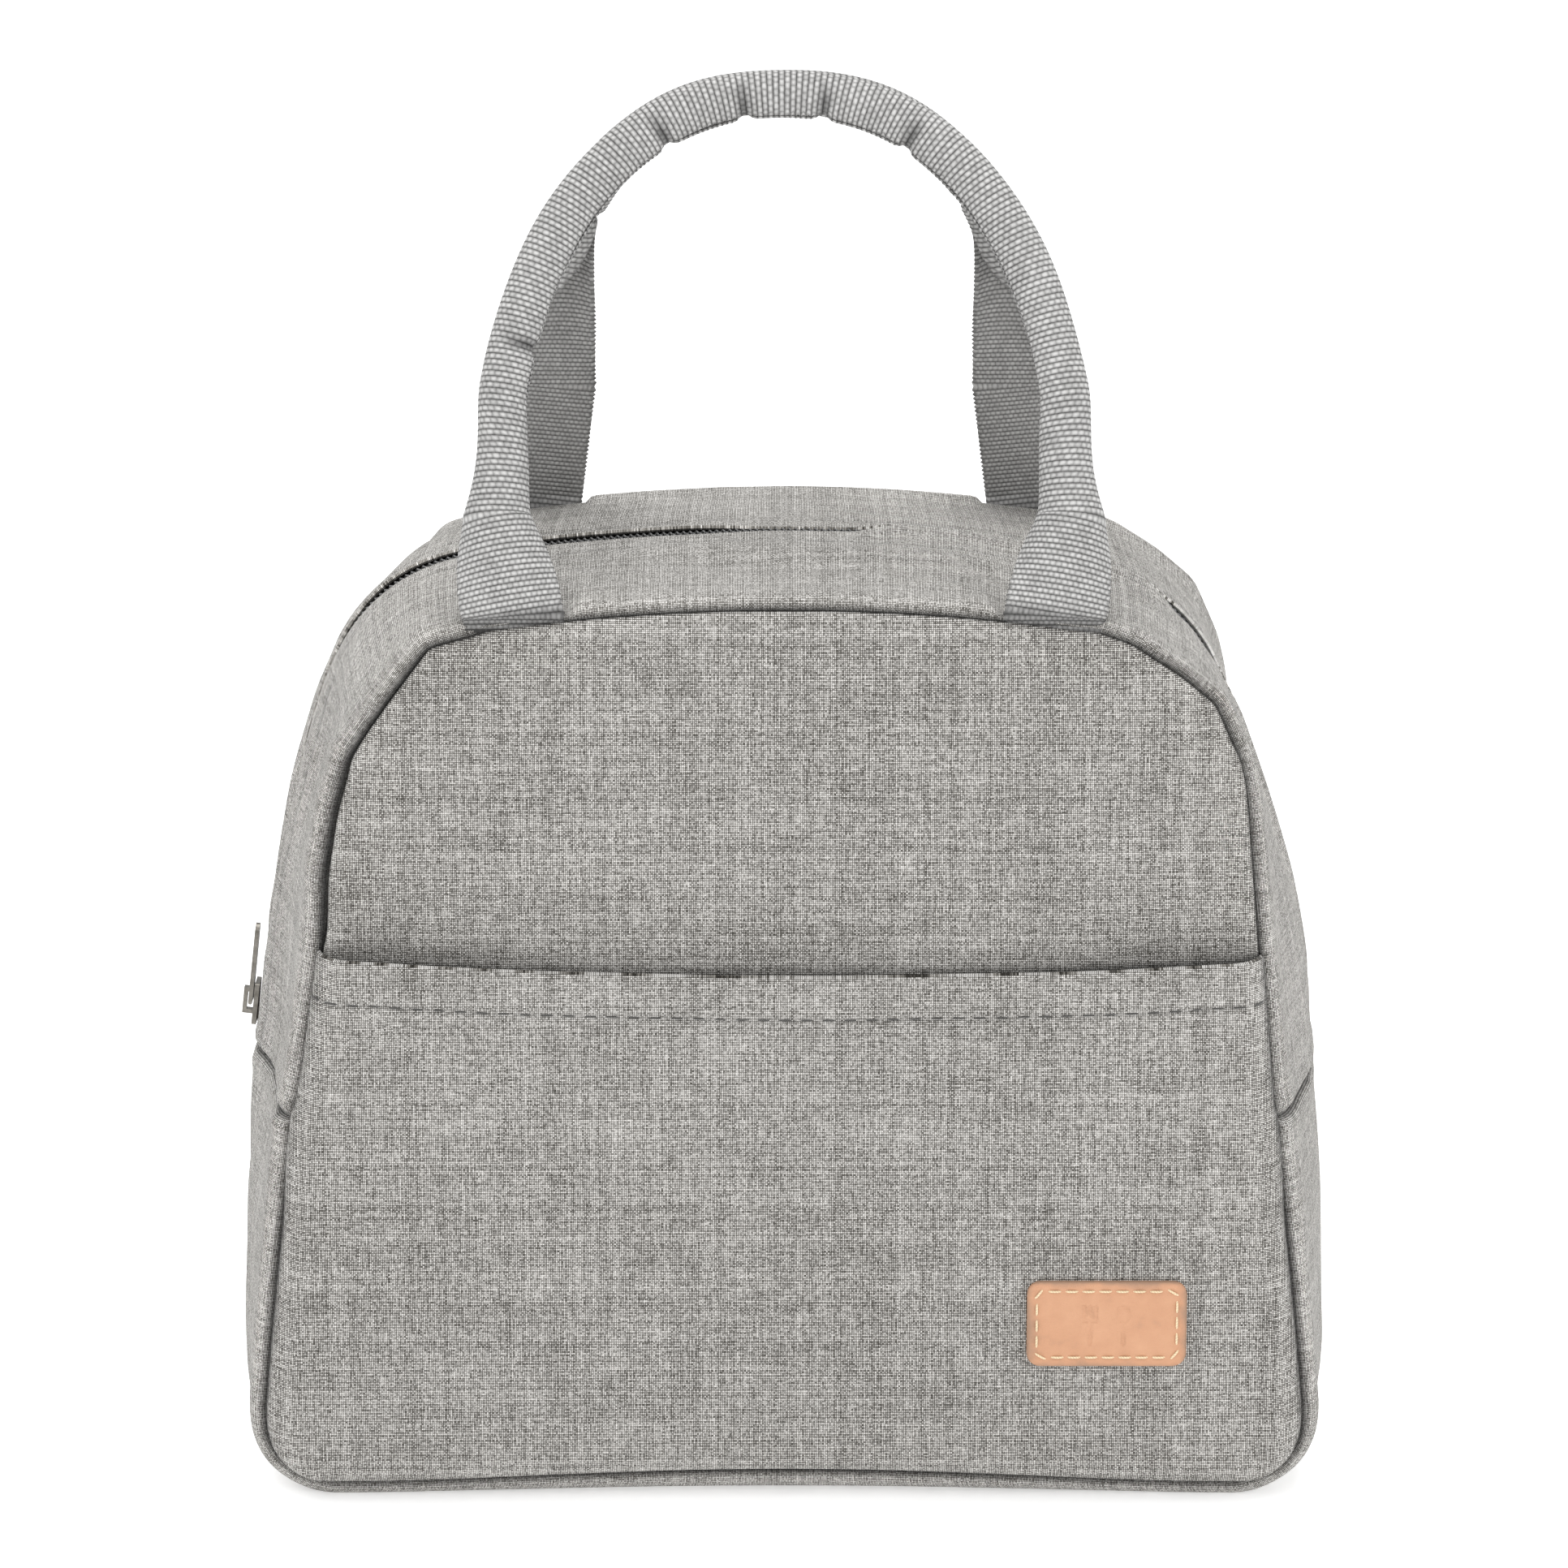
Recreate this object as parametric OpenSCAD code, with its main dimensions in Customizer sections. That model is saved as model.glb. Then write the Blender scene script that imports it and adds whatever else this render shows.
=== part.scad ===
// Insulated lunch bag: dome-topped soft case with a two-part mouth closed by a zip,
// a slip pocket on the front, foam insulation, a wipe-clean lining and two webbing handles.
// Millimetres. X runs across the front, Y runs from front to back, Z is up.
// The floor is Z = 0, and the origin is under the middle of the bag's footprint.
// The case is drawn about the zip's own plane and a level near its foot, and then moved back by
// zip_plane_y and up by case_rise. Heights in the parameters are measured from that level.

/* [Case] */
// Depth of the side band, from the front seam to the back seam
seam_depth = 132; // [120:1:150]
// Half width of the straight run along the base, at the middle of the band
base_run = 120; // [110:1:122]
// Height of the seam that joins the zip band to the base band
band_seam_z = 97; // [85:1:110]
// Height of the line where the front and the back fold open
fold_z = 142; // [139:1:150]
// Height where the sides start to turn in to the shoulders
shoulder_z = 186; // [180:1:188]
// Half depth of the flat part of the base, which stands on the floor
base_flat = 48; // [40:1:48]
// Height of the top, at the middle of the band
top_z = 234; // [228:1:238]
// Distance that the whole case stands behind the origin
zip_plane_y = 3.5; // [0:0.5:5]

/* [Layers] */
// Thickness of the outer fabric
fabric_t = 1.2; // [0.8:0.1:1.6]
// Thickness of the insulating foam
foam_t = 4; // [2:0.5:5]
// Thickness of the lining
lining_t = 0.6; // [0.4:0.1:1]
// Clear space between neighbouring layers
layer_gap = 0.1; // [0.05:0.05:0.2]

/* [Pocket] */
// Height of the pocket's mouth at its two ends
pocket_top = 138.5; // [110:0.5:138.5]
// How far the mouth's edge dips at the middle
pocket_dip = 4; // [0:0.5:8]
// How far the pocket stands off the front panel
pocket_gap = 5.4; // [4.5:0.1:8]
// Width of the leather patch
patch_w = 40.4; // [30:0.1:60]
// Height of the leather patch
patch_h = 22.6; // [15:0.1:35]

/* [Zip] */
// Width of the slot between the two edges of fabric
zip_slot = 5; // [4:0.5:8]
// Half width of the whole zip, from its middle to the edge of one tape
tape_reach = 12; // [10:0.5:16]
// Length of the slider's body
slider_l = 11; // [9:0.5:13]
// Length of the pull tab, from its pin to its tip
puller_l = 21; // [15:1:28]

/* [Handles] */
// Distance from the bag's middle to the middle of each handle end
handle_foot_x = 66.6; // [55:0.1:75]
// Half of the front handle's greatest span
handle_span = 71.5; // [66:0.5:78]
// Length of the front handle from its foot line to the middle of its top
handle_rise = 135.5; // [110:0.5:150]
// Lean of each handle towards the other, from upright
handle_lean = 27.3; // [20:0.1:27.5]
// Width of the webbing
webbing_w = 23.4; // [20:0.1:30]
// Thickness of the webbing
webbing_t = 1.4; // [1:0.1:2]

/* [Hidden] */

// Colours
FABRIC = "#a9a69e";
FOAM = "#f2f1ec";
LINING = "#dfe1e3";
WEBBING = "#b3b3b0";
ZIP = "#6f6d70";
METAL = "#8d8980";
LEATHER = "#d9a07a";
THREAD = "#efd9ae";

case_rise = 5.5;
seam_y = seam_depth / 2;
front = -1;
back = 1;
fold_gap = 0.2;
far_z = 1000;

// Depths below the outer surface at which each layer starts and ends
foam_in = fabric_t + layer_gap;
foam_out = foam_in + foam_t;
lining_in = foam_out + layer_gap;
lining_out = lining_in + lining_t;

// ---- The case's outline ----
// The band bulges between its seams. Its outline is one curve at the seams and a wider one at the
// middle, and both are cut into the same stretches, so a point at one index matches on both.
// Side stretches are circular arcs: [centre x, centre z, radius]. At the middle of the band a
// flatter arc carries on, without a corner, below the seam of the zip band.
mid_arc = [-329.8, 54, 470];
mid_low_r = 840;
seam_arc = [-1504.4, -62, 1636.4];

mid_base_z = -case_rise;
seam_base_z = 3.5 - case_rise;
seam_base_run = base_run - 7;
corner_rise = [20, 24];       // where the bottom corner ends: seam outline, middle outline
top_half_run = [76, 78];      // half width of the shallow top arc: seam outline, middle outline
top_arc_rise = 5.5;
crown_rise = 5;               // how far the top's middle stands above its seams
shoulder_pull = [18, 25];     // reach of the shoulder curve's handles: seam outline, middle outline

// Steps in each stretch, from the middle of the base to the middle of the top
STEPS = [2, 5, 3, 3, 2, 7, 4];
function before(s) = s == 0 ? 0 : STEPS[s - 1] + before(s - 1);
i_corner = before(2);
i_band = before(3);
i_fold = before(4);
i_top = before(7);

function arc_x(arc, z) = arc[0] + sqrt(arc[2] * arc[2] - (z - arc[1]) * (z - arc[1]));
function arc_up(arc, z) = [-(z - arc[1]), arc_x(arc, z) - arc[0]] / arc[2];
function mix(a, b, f) = a + (b - a) * f;
function smooth(f) = let (g = min(max(f, 0), 1)) g * g * (3 - 2 * g);
function bezier(a, b, c, d, f) =
    let (g = 1 - f) g * g * g * a + 3 * g * g * f * b + 3 * g * f * f * c + f * f * f * d;

function arc_below(arc, z, r) =
    let (p = [arc_x(arc, z), z], out = (p - [arc[0], arc[1]]) / arc[2]) concat(p - out * r, r);
mid_low_arc = arc_below(mid_arc, band_seam_z, mid_low_r);

// k is 0 for the seam outline and 1 for the middle outline
function side_arc(k, z) = k == 0 ? seam_arc : z < band_seam_z ? mid_low_arc : mid_arc;
function base_z(k) = k == 0 ? seam_base_z : mid_base_z;
function run(k) = k == 0 ? seam_base_run : base_run;
function side_point(k, z) = [arc_x(side_arc(k, z), z), z];

function corner_point(k, f) =
    let (
        a = [run(k), base_z(k)],
        b = side_point(k, corner_rise[k]),
        up = arc_up(side_arc(k, b[1]), b[1]),
        hold = 0.55
    )
    bezier(a, [mix(a[0], b[0], hold), a[1]], b - up * (b[1] - a[1]) * hold, b, f);

function top_point(k, x) = [x, top_z - crown_rise * (1 - k) - top_arc_rise * pow(x / top_half_run[k], 2)];

function shoulder_point(k, f) =
    let (
        a = side_point(k, shoulder_z),
        d = top_point(k, top_half_run[k]),
        up = arc_up(side_arc(k, shoulder_z), shoulder_z),
        slope = 2 * top_arc_rise / top_half_run[k],
        out = [1, -slope] / norm([1, slope])
    )
    bezier(a, a + up * shoulder_pull[k], d + out * shoulder_pull[k], d, f);

function stretch_point(k, s, f) =
    s == 0 ? [run(k) * f, base_z(k)] :
    s == 1 ? corner_point(k, f) :
    s == 2 ? side_point(k, mix(corner_rise[k], band_seam_z, f)) :
    s == 3 ? side_point(k, mix(band_seam_z, fold_z, f)) :
    s == 4 ? side_point(k, mix(fold_z, shoulder_z, f)) :
    s == 5 ? shoulder_point(k, f) :
    top_point(k, top_half_run[k] * (1 - f));

function half_outline(k) = [
    for (s = [0:6]) for (j = [0:STEPS[s] - 1]) stretch_point(k, s, j / STEPS[s]),
    top_point(k, 0)
];
OUTLINES = [half_outline(0), half_outline(1)];

// Outward normals along one half outline
function normals(p) = [
    for (i = [0:i_top])
        let (t = i == 0 || i == i_top ? [i == 0 ? 1 : -1, 0] : p[i + 1] - p[i - 1])
        [t[1], -t[0]] / norm(t)
];
NORMALS = [normals(OUTLINES[0]), normals(OUTLINES[1])];

// A point of the outline at index i, negative on the left, at bulge c and depth d below the surface
function outline_at(i, c, d) =
    let (
        n = abs(i),
        side = i < 0 ? -1 : 1,
        p = mix(OUTLINES[0][n], OUTLINES[1][n], c),
        v = mix(NORMALS[0][n], NORMALS[1][n], c),
        q = p - v / norm(v) * d
    )
    [side * q[0], q[1]];

// How far the band has bulged at index i and at y: 0 at the seams and 1 at the middle.
// It is flat on the floor as far as base_flat, and the flat part runs out round the bottom corners.
function bulge(i, y) =
    let (
        flat = base_flat * (1 - smooth((abs(i) - STEPS[0]) / STEPS[1])),
        w = max(0, abs(y) - flat) / (seam_y - flat)
    )
    1 - w * w;

// Runs of indices along the outline
function base_indices(top) = [for (i = [-top:top]) i];
function arch_indices(from) = concat([for (i = [from:i_top]) i], [for (i = [i_top - 1:-1:from]) -i]);
function side_indices(side, a, b) = side > 0 ? [for (i = [a:b]) i] : [for (i = [b:-1:a]) -i];

// ---- Building blocks ----
// Triangles of a grid of r rows and c columns, starting at point number at
function grid_faces(r, c, at, flip) = [
    for (i = [0:r - 2]) for (j = [0:c - 2])
        let (a = at + i * c + j, b = a + 1, e = a + c, g = e + 1)
        each (flip ? [[a, e, b], [b, e, g]] : [[a, b, e], [b, g, e]])
];
// Triangles that join two edges of equal length
function edge_faces(p, q) = [
    for (i = [0:len(p) - 2])
        each [[p[i], q[i], p[i + 1]], [p[i + 1], q[i], q[i + 1]]]
];

// Closed sheet between two grids of points that have the same rows and columns
module sheet(outer, inner) {
    r = len(outer);
    c = len(outer[0]);
    n = r * c;
    points = concat([for (row = outer) each row], [for (row = inner) each row]);
    first = [for (j = [0:c - 1]) j];
    last = [for (j = [0:c - 1]) (r - 1) * c + j];
    left = [for (i = [0:r - 1]) i * c];
    right = [for (i = [0:r - 1]) i * c + c - 1];
    faces = concat(
        grid_faces(r, c, 0, true), grid_faces(r, c, n, false),
        edge_faces(first + [for (j = first) n], first),
        edge_faces(last, last + [for (j = last) n]),
        edge_faces(left, left + [for (j = left) n]),
        edge_faces(right + [for (j = right) n], right)
    );
    polyhedron(points, faces, convexity = 6);
}

function span(a, b, n) = [for (j = [0:n]) mix(a, b, j / n)];

// Rows of points across the band, from y0 to y1
row_margin = 2;
BAND_ROWS = [-60, -base_flat, -36, -24, -tape_reach, 0, tape_reach, 24, 36, base_flat, 60];
function rows(y0, y1) = concat(y0, [for (y = BAND_ROWS) if (y > y0 + row_margin && y < y1 - row_margin) y], y1);
function skin_grid(indices, y0, y1, d, low, high) = [
    for (i = indices) [
        for (y = rows(y0, y1))
            let (p = outline_at(i, bulge(i, y), d))
            [p[0], y, min(max(p[1], low), high)]
    ]
];

// A layer of the side band: from y0 to y1, between depths d0 and d1, over the indices, cut at low and high
module band_layer(indices, y0, y1, d0, d1, low = -far_z, high = far_z) {
    sheet(skin_grid(indices, y0, y1, d0, low, high), skin_grid(indices, y0, y1, d1, low, high));
}

// A flat layer of the front or the back: the seam outline less inset, from depth d0 to d1
module panel_layer(side, d0, d1, inset, indices, low, high) {
    outline = [
        for (i = indices)
            let (p = outline_at(i, 0, inset))
            [p[0], min(max(p[1], low), high)]
    ];
    y = side * (seam_y + fabric_t);
    translate([0, side > 0 ? y - d0 : y + d1, 0])
        rotate([90, 0, 0])
            linear_extrude(d1 - d0)
                polygon(outline);
}

// The same layer on the lower, fixed part and on the upper, opening part
module lower_panel(side, d0, d1, inset) {
    panel_layer(side, d0, d1, inset, base_indices(i_fold), -far_z, fold_z - fold_gap);
}
module upper_panel(side, d0, d1, inset) {
    panel_layer(side, d0, d1, inset, arch_indices(i_fold), fold_z + fold_gap, far_z);
}

// Where the layers of the band end, short of the panels
layer_y = seam_y - foam_t - lining_t - 3 * layer_gap;
zip_foam_y = tape_reach + 1;

// ---- Base and lower part ----
module base_gusset() {
    reach = 2 * (mid_arc[0] + mid_arc[2] + fabric_t) + 10;
    color(FABRIC)
        intersection() {
            band_layer(base_indices(i_band), -seam_y, seam_y, 0, fabric_t);
            translate([-reach / 2, -seam_y - 1, -case_rise])
                cube([reach, 2 * seam_y + 2, band_seam_z - fold_gap + case_rise]);
        }
}
module base_foam() {
    color(FOAM)
        band_layer(base_indices(i_band), -layer_y, layer_y, foam_in, foam_out, high = band_seam_z - fold_gap);
}
module base_lining() {
    color(LINING)
        band_layer(base_indices(i_band), -layer_y, layer_y, lining_in, lining_out,
            high = band_seam_z - fold_gap);
}
module panel_lower(side) {
    color(FABRIC) lower_panel(side, 0, fabric_t - layer_gap, 0);
}
module foam_lower(side) {
    color(FOAM) lower_panel(side, foam_in, foam_out, foam_in);
}
module lining_lower(side) {
    color(LINING) lower_panel(side, lining_in, lining_out, foam_in);
}

// The band between its seam with the base band and the fold: four pieces, front and back of each zip end
module end_pieces(y0, y1, d0, d1, low = band_seam_z + fold_gap) {
    for (end = [-1, 1]) for (side = [front, back])
        band_layer(side_indices(end, i_band, i_fold), side > 0 ? y0 : -y1, side > 0 ? y1 : -y0,
            d0, d1, low, fold_z - fold_gap);
}
module zip_band_ends() {
    color(FABRIC) end_pieces(zip_slot / 2, seam_y, 0, fabric_t);
}
module zip_end_foam() {
    color(FOAM) end_pieces(zip_foam_y, layer_y, foam_in, foam_out);
}
module zip_end_lining() {
    color(LINING) end_pieces(zip_foam_y, layer_y, lining_in, lining_out);
}

// ---- Zip ----
// The coils lie in the slot, and the tapes run under the fabric on both sides of it
tape_t = 0.5;
tape_in = fabric_t + layer_gap;
tape_edge = 1.3;
coil_in = 0.1;
coil_out = tape_in - 0.05;
coil_y = [0.9, 2.2];
tape_low_z = band_seam_z + 1;
stop_z = [band_seam_z + 1.8, band_seam_z + 3.8];
coil_low_z = band_seam_z + 4.2;

module zip_tape_ends() {
    color(ZIP) end_pieces(tape_edge, tape_reach, tape_in, tape_in + tape_t, tape_low_z);
}
module zip_coil_ends() {
    color(ZIP) end_pieces(coil_y[0], coil_y[1], coil_in, coil_out, coil_low_z);
}
// A staple across both coils at each end of the zip
module zip_stops() {
    thick = 0.9;
    x = arc_x(mid_arc, stop_z[1]) - coil_in - thick / 2;
    color(METAL)
        for (end = [-1, 1])
            translate([end * x, 0, (stop_z[0] + stop_z[1]) / 2])
                cube([thick, 2 * coil_y[1], stop_z[1] - stop_z[0]], center = true);
}

// ---- Slider ----
slider_z = 107.5;
slider_angle = asin((slider_z - mid_arc[1]) / mid_arc[2]);
plate_t = 1.2;
plate_clear = 0.4;
nose_half = 4.6;
tail_half = 3.8;
post_half = 0.55;
bridge_w = 2.2;
bridge_l = 7;
bridge_h = 2.9;
bridge_wall = 1.1;
pin_r = 0.55;
pin_out = plate_clear + plate_t + (bridge_h - bridge_wall) / 2;

// On the left side of the zip: +X out of the bag, +Z up along the zip, origin on the fabric's surface
module on_track() {
    translate([-mid_arc[0], 0, mid_arc[1]])
        rotate([0, slider_angle, 0])
            translate([-mid_arc[2], 0, 0])
                rotate([0, 0, 180])
                    children();
}
module slider_plate(out) {
    corner = 0.8;
    translate([out, 0, 0])
        rotate([90, 0, 90])
            linear_extrude(plate_t)
                hull()
                    for (side = [-1, 1]) {
                        translate([side * (nose_half - corner), -slider_l / 2 + corner]) circle(corner, $fn = 24);
                        translate([side * (tail_half - corner), slider_l / 2 - corner]) circle(corner, $fn = 24);
                    }
}
module slider_body() {
    inner = -(tape_in + tape_t + plate_clear + plate_t);
    outer = plate_clear;
    color(METAL)
        on_track() {
            slider_plate(outer);
            slider_plate(inner);
            // The wedge that parts the two coils
            translate([inner + plate_t / 2, -post_half, -slider_l / 2 + 0.6])
                cube([outer - inner, 2 * post_half, 3.4]);
            // The bridge that holds the pull tab's pin
            difference() {
                translate([outer + plate_t / 2, -bridge_w / 2, -bridge_l / 2])
                    cube([bridge_h + plate_t / 2, bridge_w, bridge_l]);
                translate([outer + plate_t, -bridge_w, -bridge_l / 2 + bridge_wall])
                    cube([bridge_h - bridge_wall, 2 * bridge_w, bridge_l - 2 * bridge_wall]);
            }
        }
}
// A plate with a window that straddles the bridge; the bar that closes the window is its pin
module pull_tab() {
    half = 3;
    window = [1.4, 5];
    tip = 2.4;
    thick = 1.1;
    color(METAL)
        on_track()
            translate([pin_out, 0, 0]) {
                translate([0, -half, 0])
                    rotate([-90, 0, 0])
                        cylinder(r = pin_r, h = 2 * half, $fn = 32);
                difference() {
                    translate([-thick / 2, 0, 0])
                        rotate([90, 0, 90])
                            linear_extrude(thick)
                                hull() {
                                    translate([-half, 0]) square([2 * half, 0.1]);
                                    translate([0, puller_l - tip]) circle(tip, $fn = 48);
                                }
                    translate([-thick, -window[0], -1]) cube([2 * thick, 2 * window[0], window[1] + 1]);
                }
            }
}

// ---- Opening halves of the mouth ----
module panel_upper(side) {
    color(FABRIC) upper_panel(side, 0, fabric_t - layer_gap, 0);
}
module foam_upper(side) {
    color(FOAM) upper_panel(side, foam_in, foam_out, foam_in);
}
module lining_upper(side) {
    color(LINING) upper_panel(side, lining_in, lining_out, foam_in);
}
module band_half(side, y0, y1, d0, d1) {
    band_layer(arch_indices(i_fold), side > 0 ? y0 : -y1, side > 0 ? y1 : -y0, d0, d1, low = fold_z + fold_gap);
}
module zip_band(side) {
    color(FABRIC) band_half(side, zip_slot / 2, seam_y, 0, fabric_t);
}
module band_foam(side) {
    color(FOAM) band_half(side, zip_foam_y, layer_y, foam_in, foam_out);
}
module band_lining(side) {
    color(LINING) band_half(side, zip_foam_y, layer_y, lining_in, lining_out);
}
module zip_tape(side) {
    color(ZIP) band_half(side, tape_edge, tape_reach, tape_in, tape_in + tape_t);
}
module zip_coil(side) {
    color(ZIP) band_half(side, coil_y[0], coil_y[1], coil_in, coil_out);
}

// Tape that binds the raw edges of each seam inside the bag: a flat ring on edge
binding_w = 8;
binding_t = 2;
module binding(side, indices, low, high) {
    function ring(d) = [
        for (i = indices)
            let (p = outline_at(i, 0, d))
            [p[0], min(max(p[1], low), high)]
    ];
    a = ring(lining_out + 0.6);
    b = ring(lining_out + 0.6 + binding_w);
    y = side * (layer_y - layer_gap);
    color(WEBBING)
        translate([0, side > 0 ? y : y + binding_t, 0])
            rotate([90, 0, 0])
                linear_extrude(binding_t)
                    polygon(concat(a, [for (i = [len(b) - 1:-1:0]) b[i]]));
}
module seam_binding_base() {
    for (side = [front, back])
        binding(side, base_indices(i_fold), -far_z, fold_z - fold_gap);
}
module seam_binding(side) {
    binding(side, arch_indices(i_fold), fold_z + fold_gap, far_z);
}

// ---- Front pocket ----
pocket_low = 6 - case_rise;
pocket_power = 16;
pocket_back_y = -(seam_y + fabric_t + layer_gap);
stitch_r = 0.3;

// The pocket's shape over u, -1 to 1 across, and v, 0 at the bottom to 1 at the mouth
function pocket_point(u, v, lift) =
    let (
        z = mix(pocket_low, pocket_top - pocket_dip * (1 - u * u), v),
        half = arc_x(seam_arc, max(z, corner_rise[0])) - 1.5 - 9 * pow(max(0, 1 - (z - pocket_low) / 14), 2),
        stand = (1 - pow(abs(u), pocket_power)) * (1 - pow(1 - v, pocket_power))
    )
    [u * half, pocket_back_y - pocket_gap * stand - lift, z];
// Steps are closer together towards the sewn edges
function eased(n) = [for (j = [0:n]) let (t = 2 * j / n - 1) sin(90 * t)];
module front_pocket() {
    us = eased(22);
    vs = [for (j = [0:10]) 1 - cos(90 * j / 10)];
    color(FABRIC)
        sheet([for (v = vs) [for (u = us) pocket_point(u, v, fabric_t)]],
              [for (v = vs) [for (u = us) pocket_point(u, v, 0)]]);
}

// A row of short stitches across the pocket, below its mouth
hem_w = 11;
hem_stitch = 3.6;
hem_pitch = 5.4;
module pocket_stitching() {
    n = floor(arc_x(seam_arc, pocket_top) / hem_pitch) - 1;
    v = 1 - hem_w / (pocket_top - pocket_low);
    du = 0.001;
    color(THREAD)
        for (j = [-n:n]) {
            u = j * hem_pitch / arc_x(seam_arc, pocket_top);
            p = pocket_point(u, v, fabric_t + stitch_r + 0.02);
            t = pocket_point(u + du, v, 0) - pocket_point(u - du, v, 0);
            translate(p)
                rotate([0, 0, atan2(t[1], t[0])])
                    rotate([0, 90 - atan2(t[2], norm([t[0], t[1]])), 0])
                        cylinder(r = stitch_r, h = hem_stitch, center = true, $fn = 16);
        }
}

// ---- Leather patch ----
patch_mid = [81.5, 45];
patch_t = 1.4;
patch_r = 3.6;
patch_y = pocket_back_y - pocket_gap - fabric_t - 0.05;
stitch_inset = 3;
stitch_l = 3.2;

module leather_patch() {
    color(LEATHER)
        translate([patch_mid[0], patch_y, patch_mid[1]])
            rotate([90, 0, 0])
                linear_extrude(patch_t)
                    hull()
                        for (sx = [-1, 1]) for (sy = [-1, 1])
                            translate([sx * (patch_w / 2 - patch_r), sy * (patch_h / 2 - patch_r)])
                                circle(patch_r, $fn = 48);
}
// One straight row of stitches, each a short rod that lies on the leather
module stitch_row(from, to) {
    n = round(norm(to - from) / (stitch_l + 1));
    dir = (to - from) / norm(to - from);
    gap = norm(to - from) / n;
    for (j = [0:n - 1]) {
        p = from + dir * gap * (j + 0.5);
        translate([p[0], 0, p[1]])
            rotate([0, abs(dir[0]) > 0.5 ? 90 : 0, 0])
                cylinder(r = stitch_r, h = stitch_l, center = true, $fn = 16);
    }
}
module patch_stitching() {
    a = patch_w / 2 - stitch_inset;
    b = patch_h / 2 - stitch_inset;
    c = 1.4;
    color(THREAD)
        translate([patch_mid[0], patch_y - patch_t - stitch_r - 0.02, patch_mid[1]]) {
            for (s = [-1, 1]) {
                stitch_row([-a + c, s * b], [a - c, s * b]);
                stitch_row([s * a, -b + c], [s * a, b - c]);
            }
        }
}

// ---- Handles ----
// Drawn lying in the XZ plane with the foot line on the origin, then leaned over the bag
foot_y = seam_y + fabric_t + 1;
foot_z = 226.4;
foot_clear = 0.6;
// Each handle's own shape: half span, rise, height of its straight legs, power of its arch, and the
// heights over which the webbing curls into a tube and turns its middle to the outside of the arch
FRONT_SHAPE = [handle_span, handle_rise, 27, 2.2, -6, 60, 24, 64];
BACK_SHAPE = [handle_span - 9.5, handle_rise - 1.5, 40, 2.3, 46, 100, 46, 100];
tube_half = [5.6, 3.1];   // half width and half depth of the tube, to the middle of the webbing
half_turn = 160;          // how far the webbing turns from the outside of the arch to either edge
tube_r = webbing_w / 2 / (half_turn * PI / 180);

// Points along one handle's middle line, from the left foot to the right foot
function leg_points(w, n) = [
    for (j = [0:n - 1])
        let (h = mix(foot_clear, w[2], j / n))
        [-mix(handle_foot_x, w[0], h / w[2]), h]
];
function arch_points(w, n) = [
    for (j = [0:n])
        let (
            a = 180 - 180 * j / n,
            c = cos(a), s = sin(a), e = 2 / w[3]
        )
        [w[0] * sign(c) * pow(abs(c), e), w[2] + (w[1] - w[2]) * pow(s, e)]
];
function handle_path(w) =
    let (leg = leg_points(w, 5))
    concat(leg, arch_points(w, 32), [for (i = [4:-1:0]) [-leg[i][0], leg[i][1]]]);

// Frame at a point of the path: in-plane normal, pointing out of the arch
function path_normal(path, i) =
    let (
        a = path[max(i - 1, 0)],
        b = path[min(i + 1, len(path) - 1)],
        t = (b - a) / norm(b - a)
    )
    [-t[1], t[0]];

function between(h, from, to) = smooth((h - from) / (to - from));

// One point of the webbing's section: s is -1 at its outer edge, 0 along its middle and 1 at its inner
// edge, and off is the distance from the middle of its thickness. As it curls, its middle turns to the
// outside of the arch and its edges come together on the inside.
function webbing_point(w, path, i, s, off) =
    let (
        p = path[i],
        n = path_normal(path, i),
        k = between(p[1], w[4], w[5]),
        m = between(p[1], w[6], w[7]),
        start = 180 - 90 * m,
        turn = half_turn * k * s / 2,
        reach = webbing_w / 2 * s * (turn == 0 ? 1 : sin(turn) / (turn * PI / 180)),
        wide = mix(1, tube_half[0] / tube_r, k),
        deep = mix(1, tube_half[1] / tube_r, k),
        face = start + 2 * turn - 90,
        v = [cos(face) / wide, sin(face) / deep],
        q = [m * tube_half[0] + cos(start + turn) * reach * wide, sin(start + turn) * reach * deep]
            + v / norm(v) * off
    )
    [p[0] + n[0] * q[0], -q[1], p[1] + n[1] * q[0]];

module webbing(w) {
    ss = span(-1, 1, 12);
    path = handle_path(w);
    steps = [0:len(path) - 1];
    sheet([for (i = steps) [for (s = ss) webbing_point(w, path, i, s, webbing_t / 2)]],
          [for (i = steps) [for (s = ss) webbing_point(w, path, i, s, -webbing_t / 2)]]);
}
// The foam cord inside the grip, where the webbing is a closed tube
module core(w) {
    path = handle_path(w);
    steps = [for (i = [0:len(path) - 1]) if (path[i][1] > max(w[5], w[7])) i];
    sides = 10;
    half = [tube_half[0] - webbing_t / 2 - 0.4, tube_half[1] - webbing_t / 2 - 0.4];
    n = len(steps);
    points = [
        for (i = steps) for (j = [0:sides - 1])
            let (a = 360 * j / sides, p = path[i], v = path_normal(path, i), across = half[0] * cos(a))
            [p[0] + v[0] * across, half[1] * sin(a), p[1] + v[1] * across]
    ];
    walls = [
        for (i = [0:n - 2]) for (j = [0:sides - 1])
            let (a = i * sides + j, b = i * sides + (j + 1) % sides)
            each [[a, b, a + sides], [b, b + sides, a + sides]]
    ];
    ends = [[for (j = [sides - 1:-1:0]) j], [for (j = [0:sides - 1]) (n - 1) * sides + j]];
    polyhedron(points, concat(walls, ends), convexity = 4);
}
module on_foot(side) {
    mirror([0, side > 0 ? 1 : 0, 0])
        translate([0, -foot_y, foot_z])
            rotate([-handle_lean, 0, 0])
                children();
}
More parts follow.
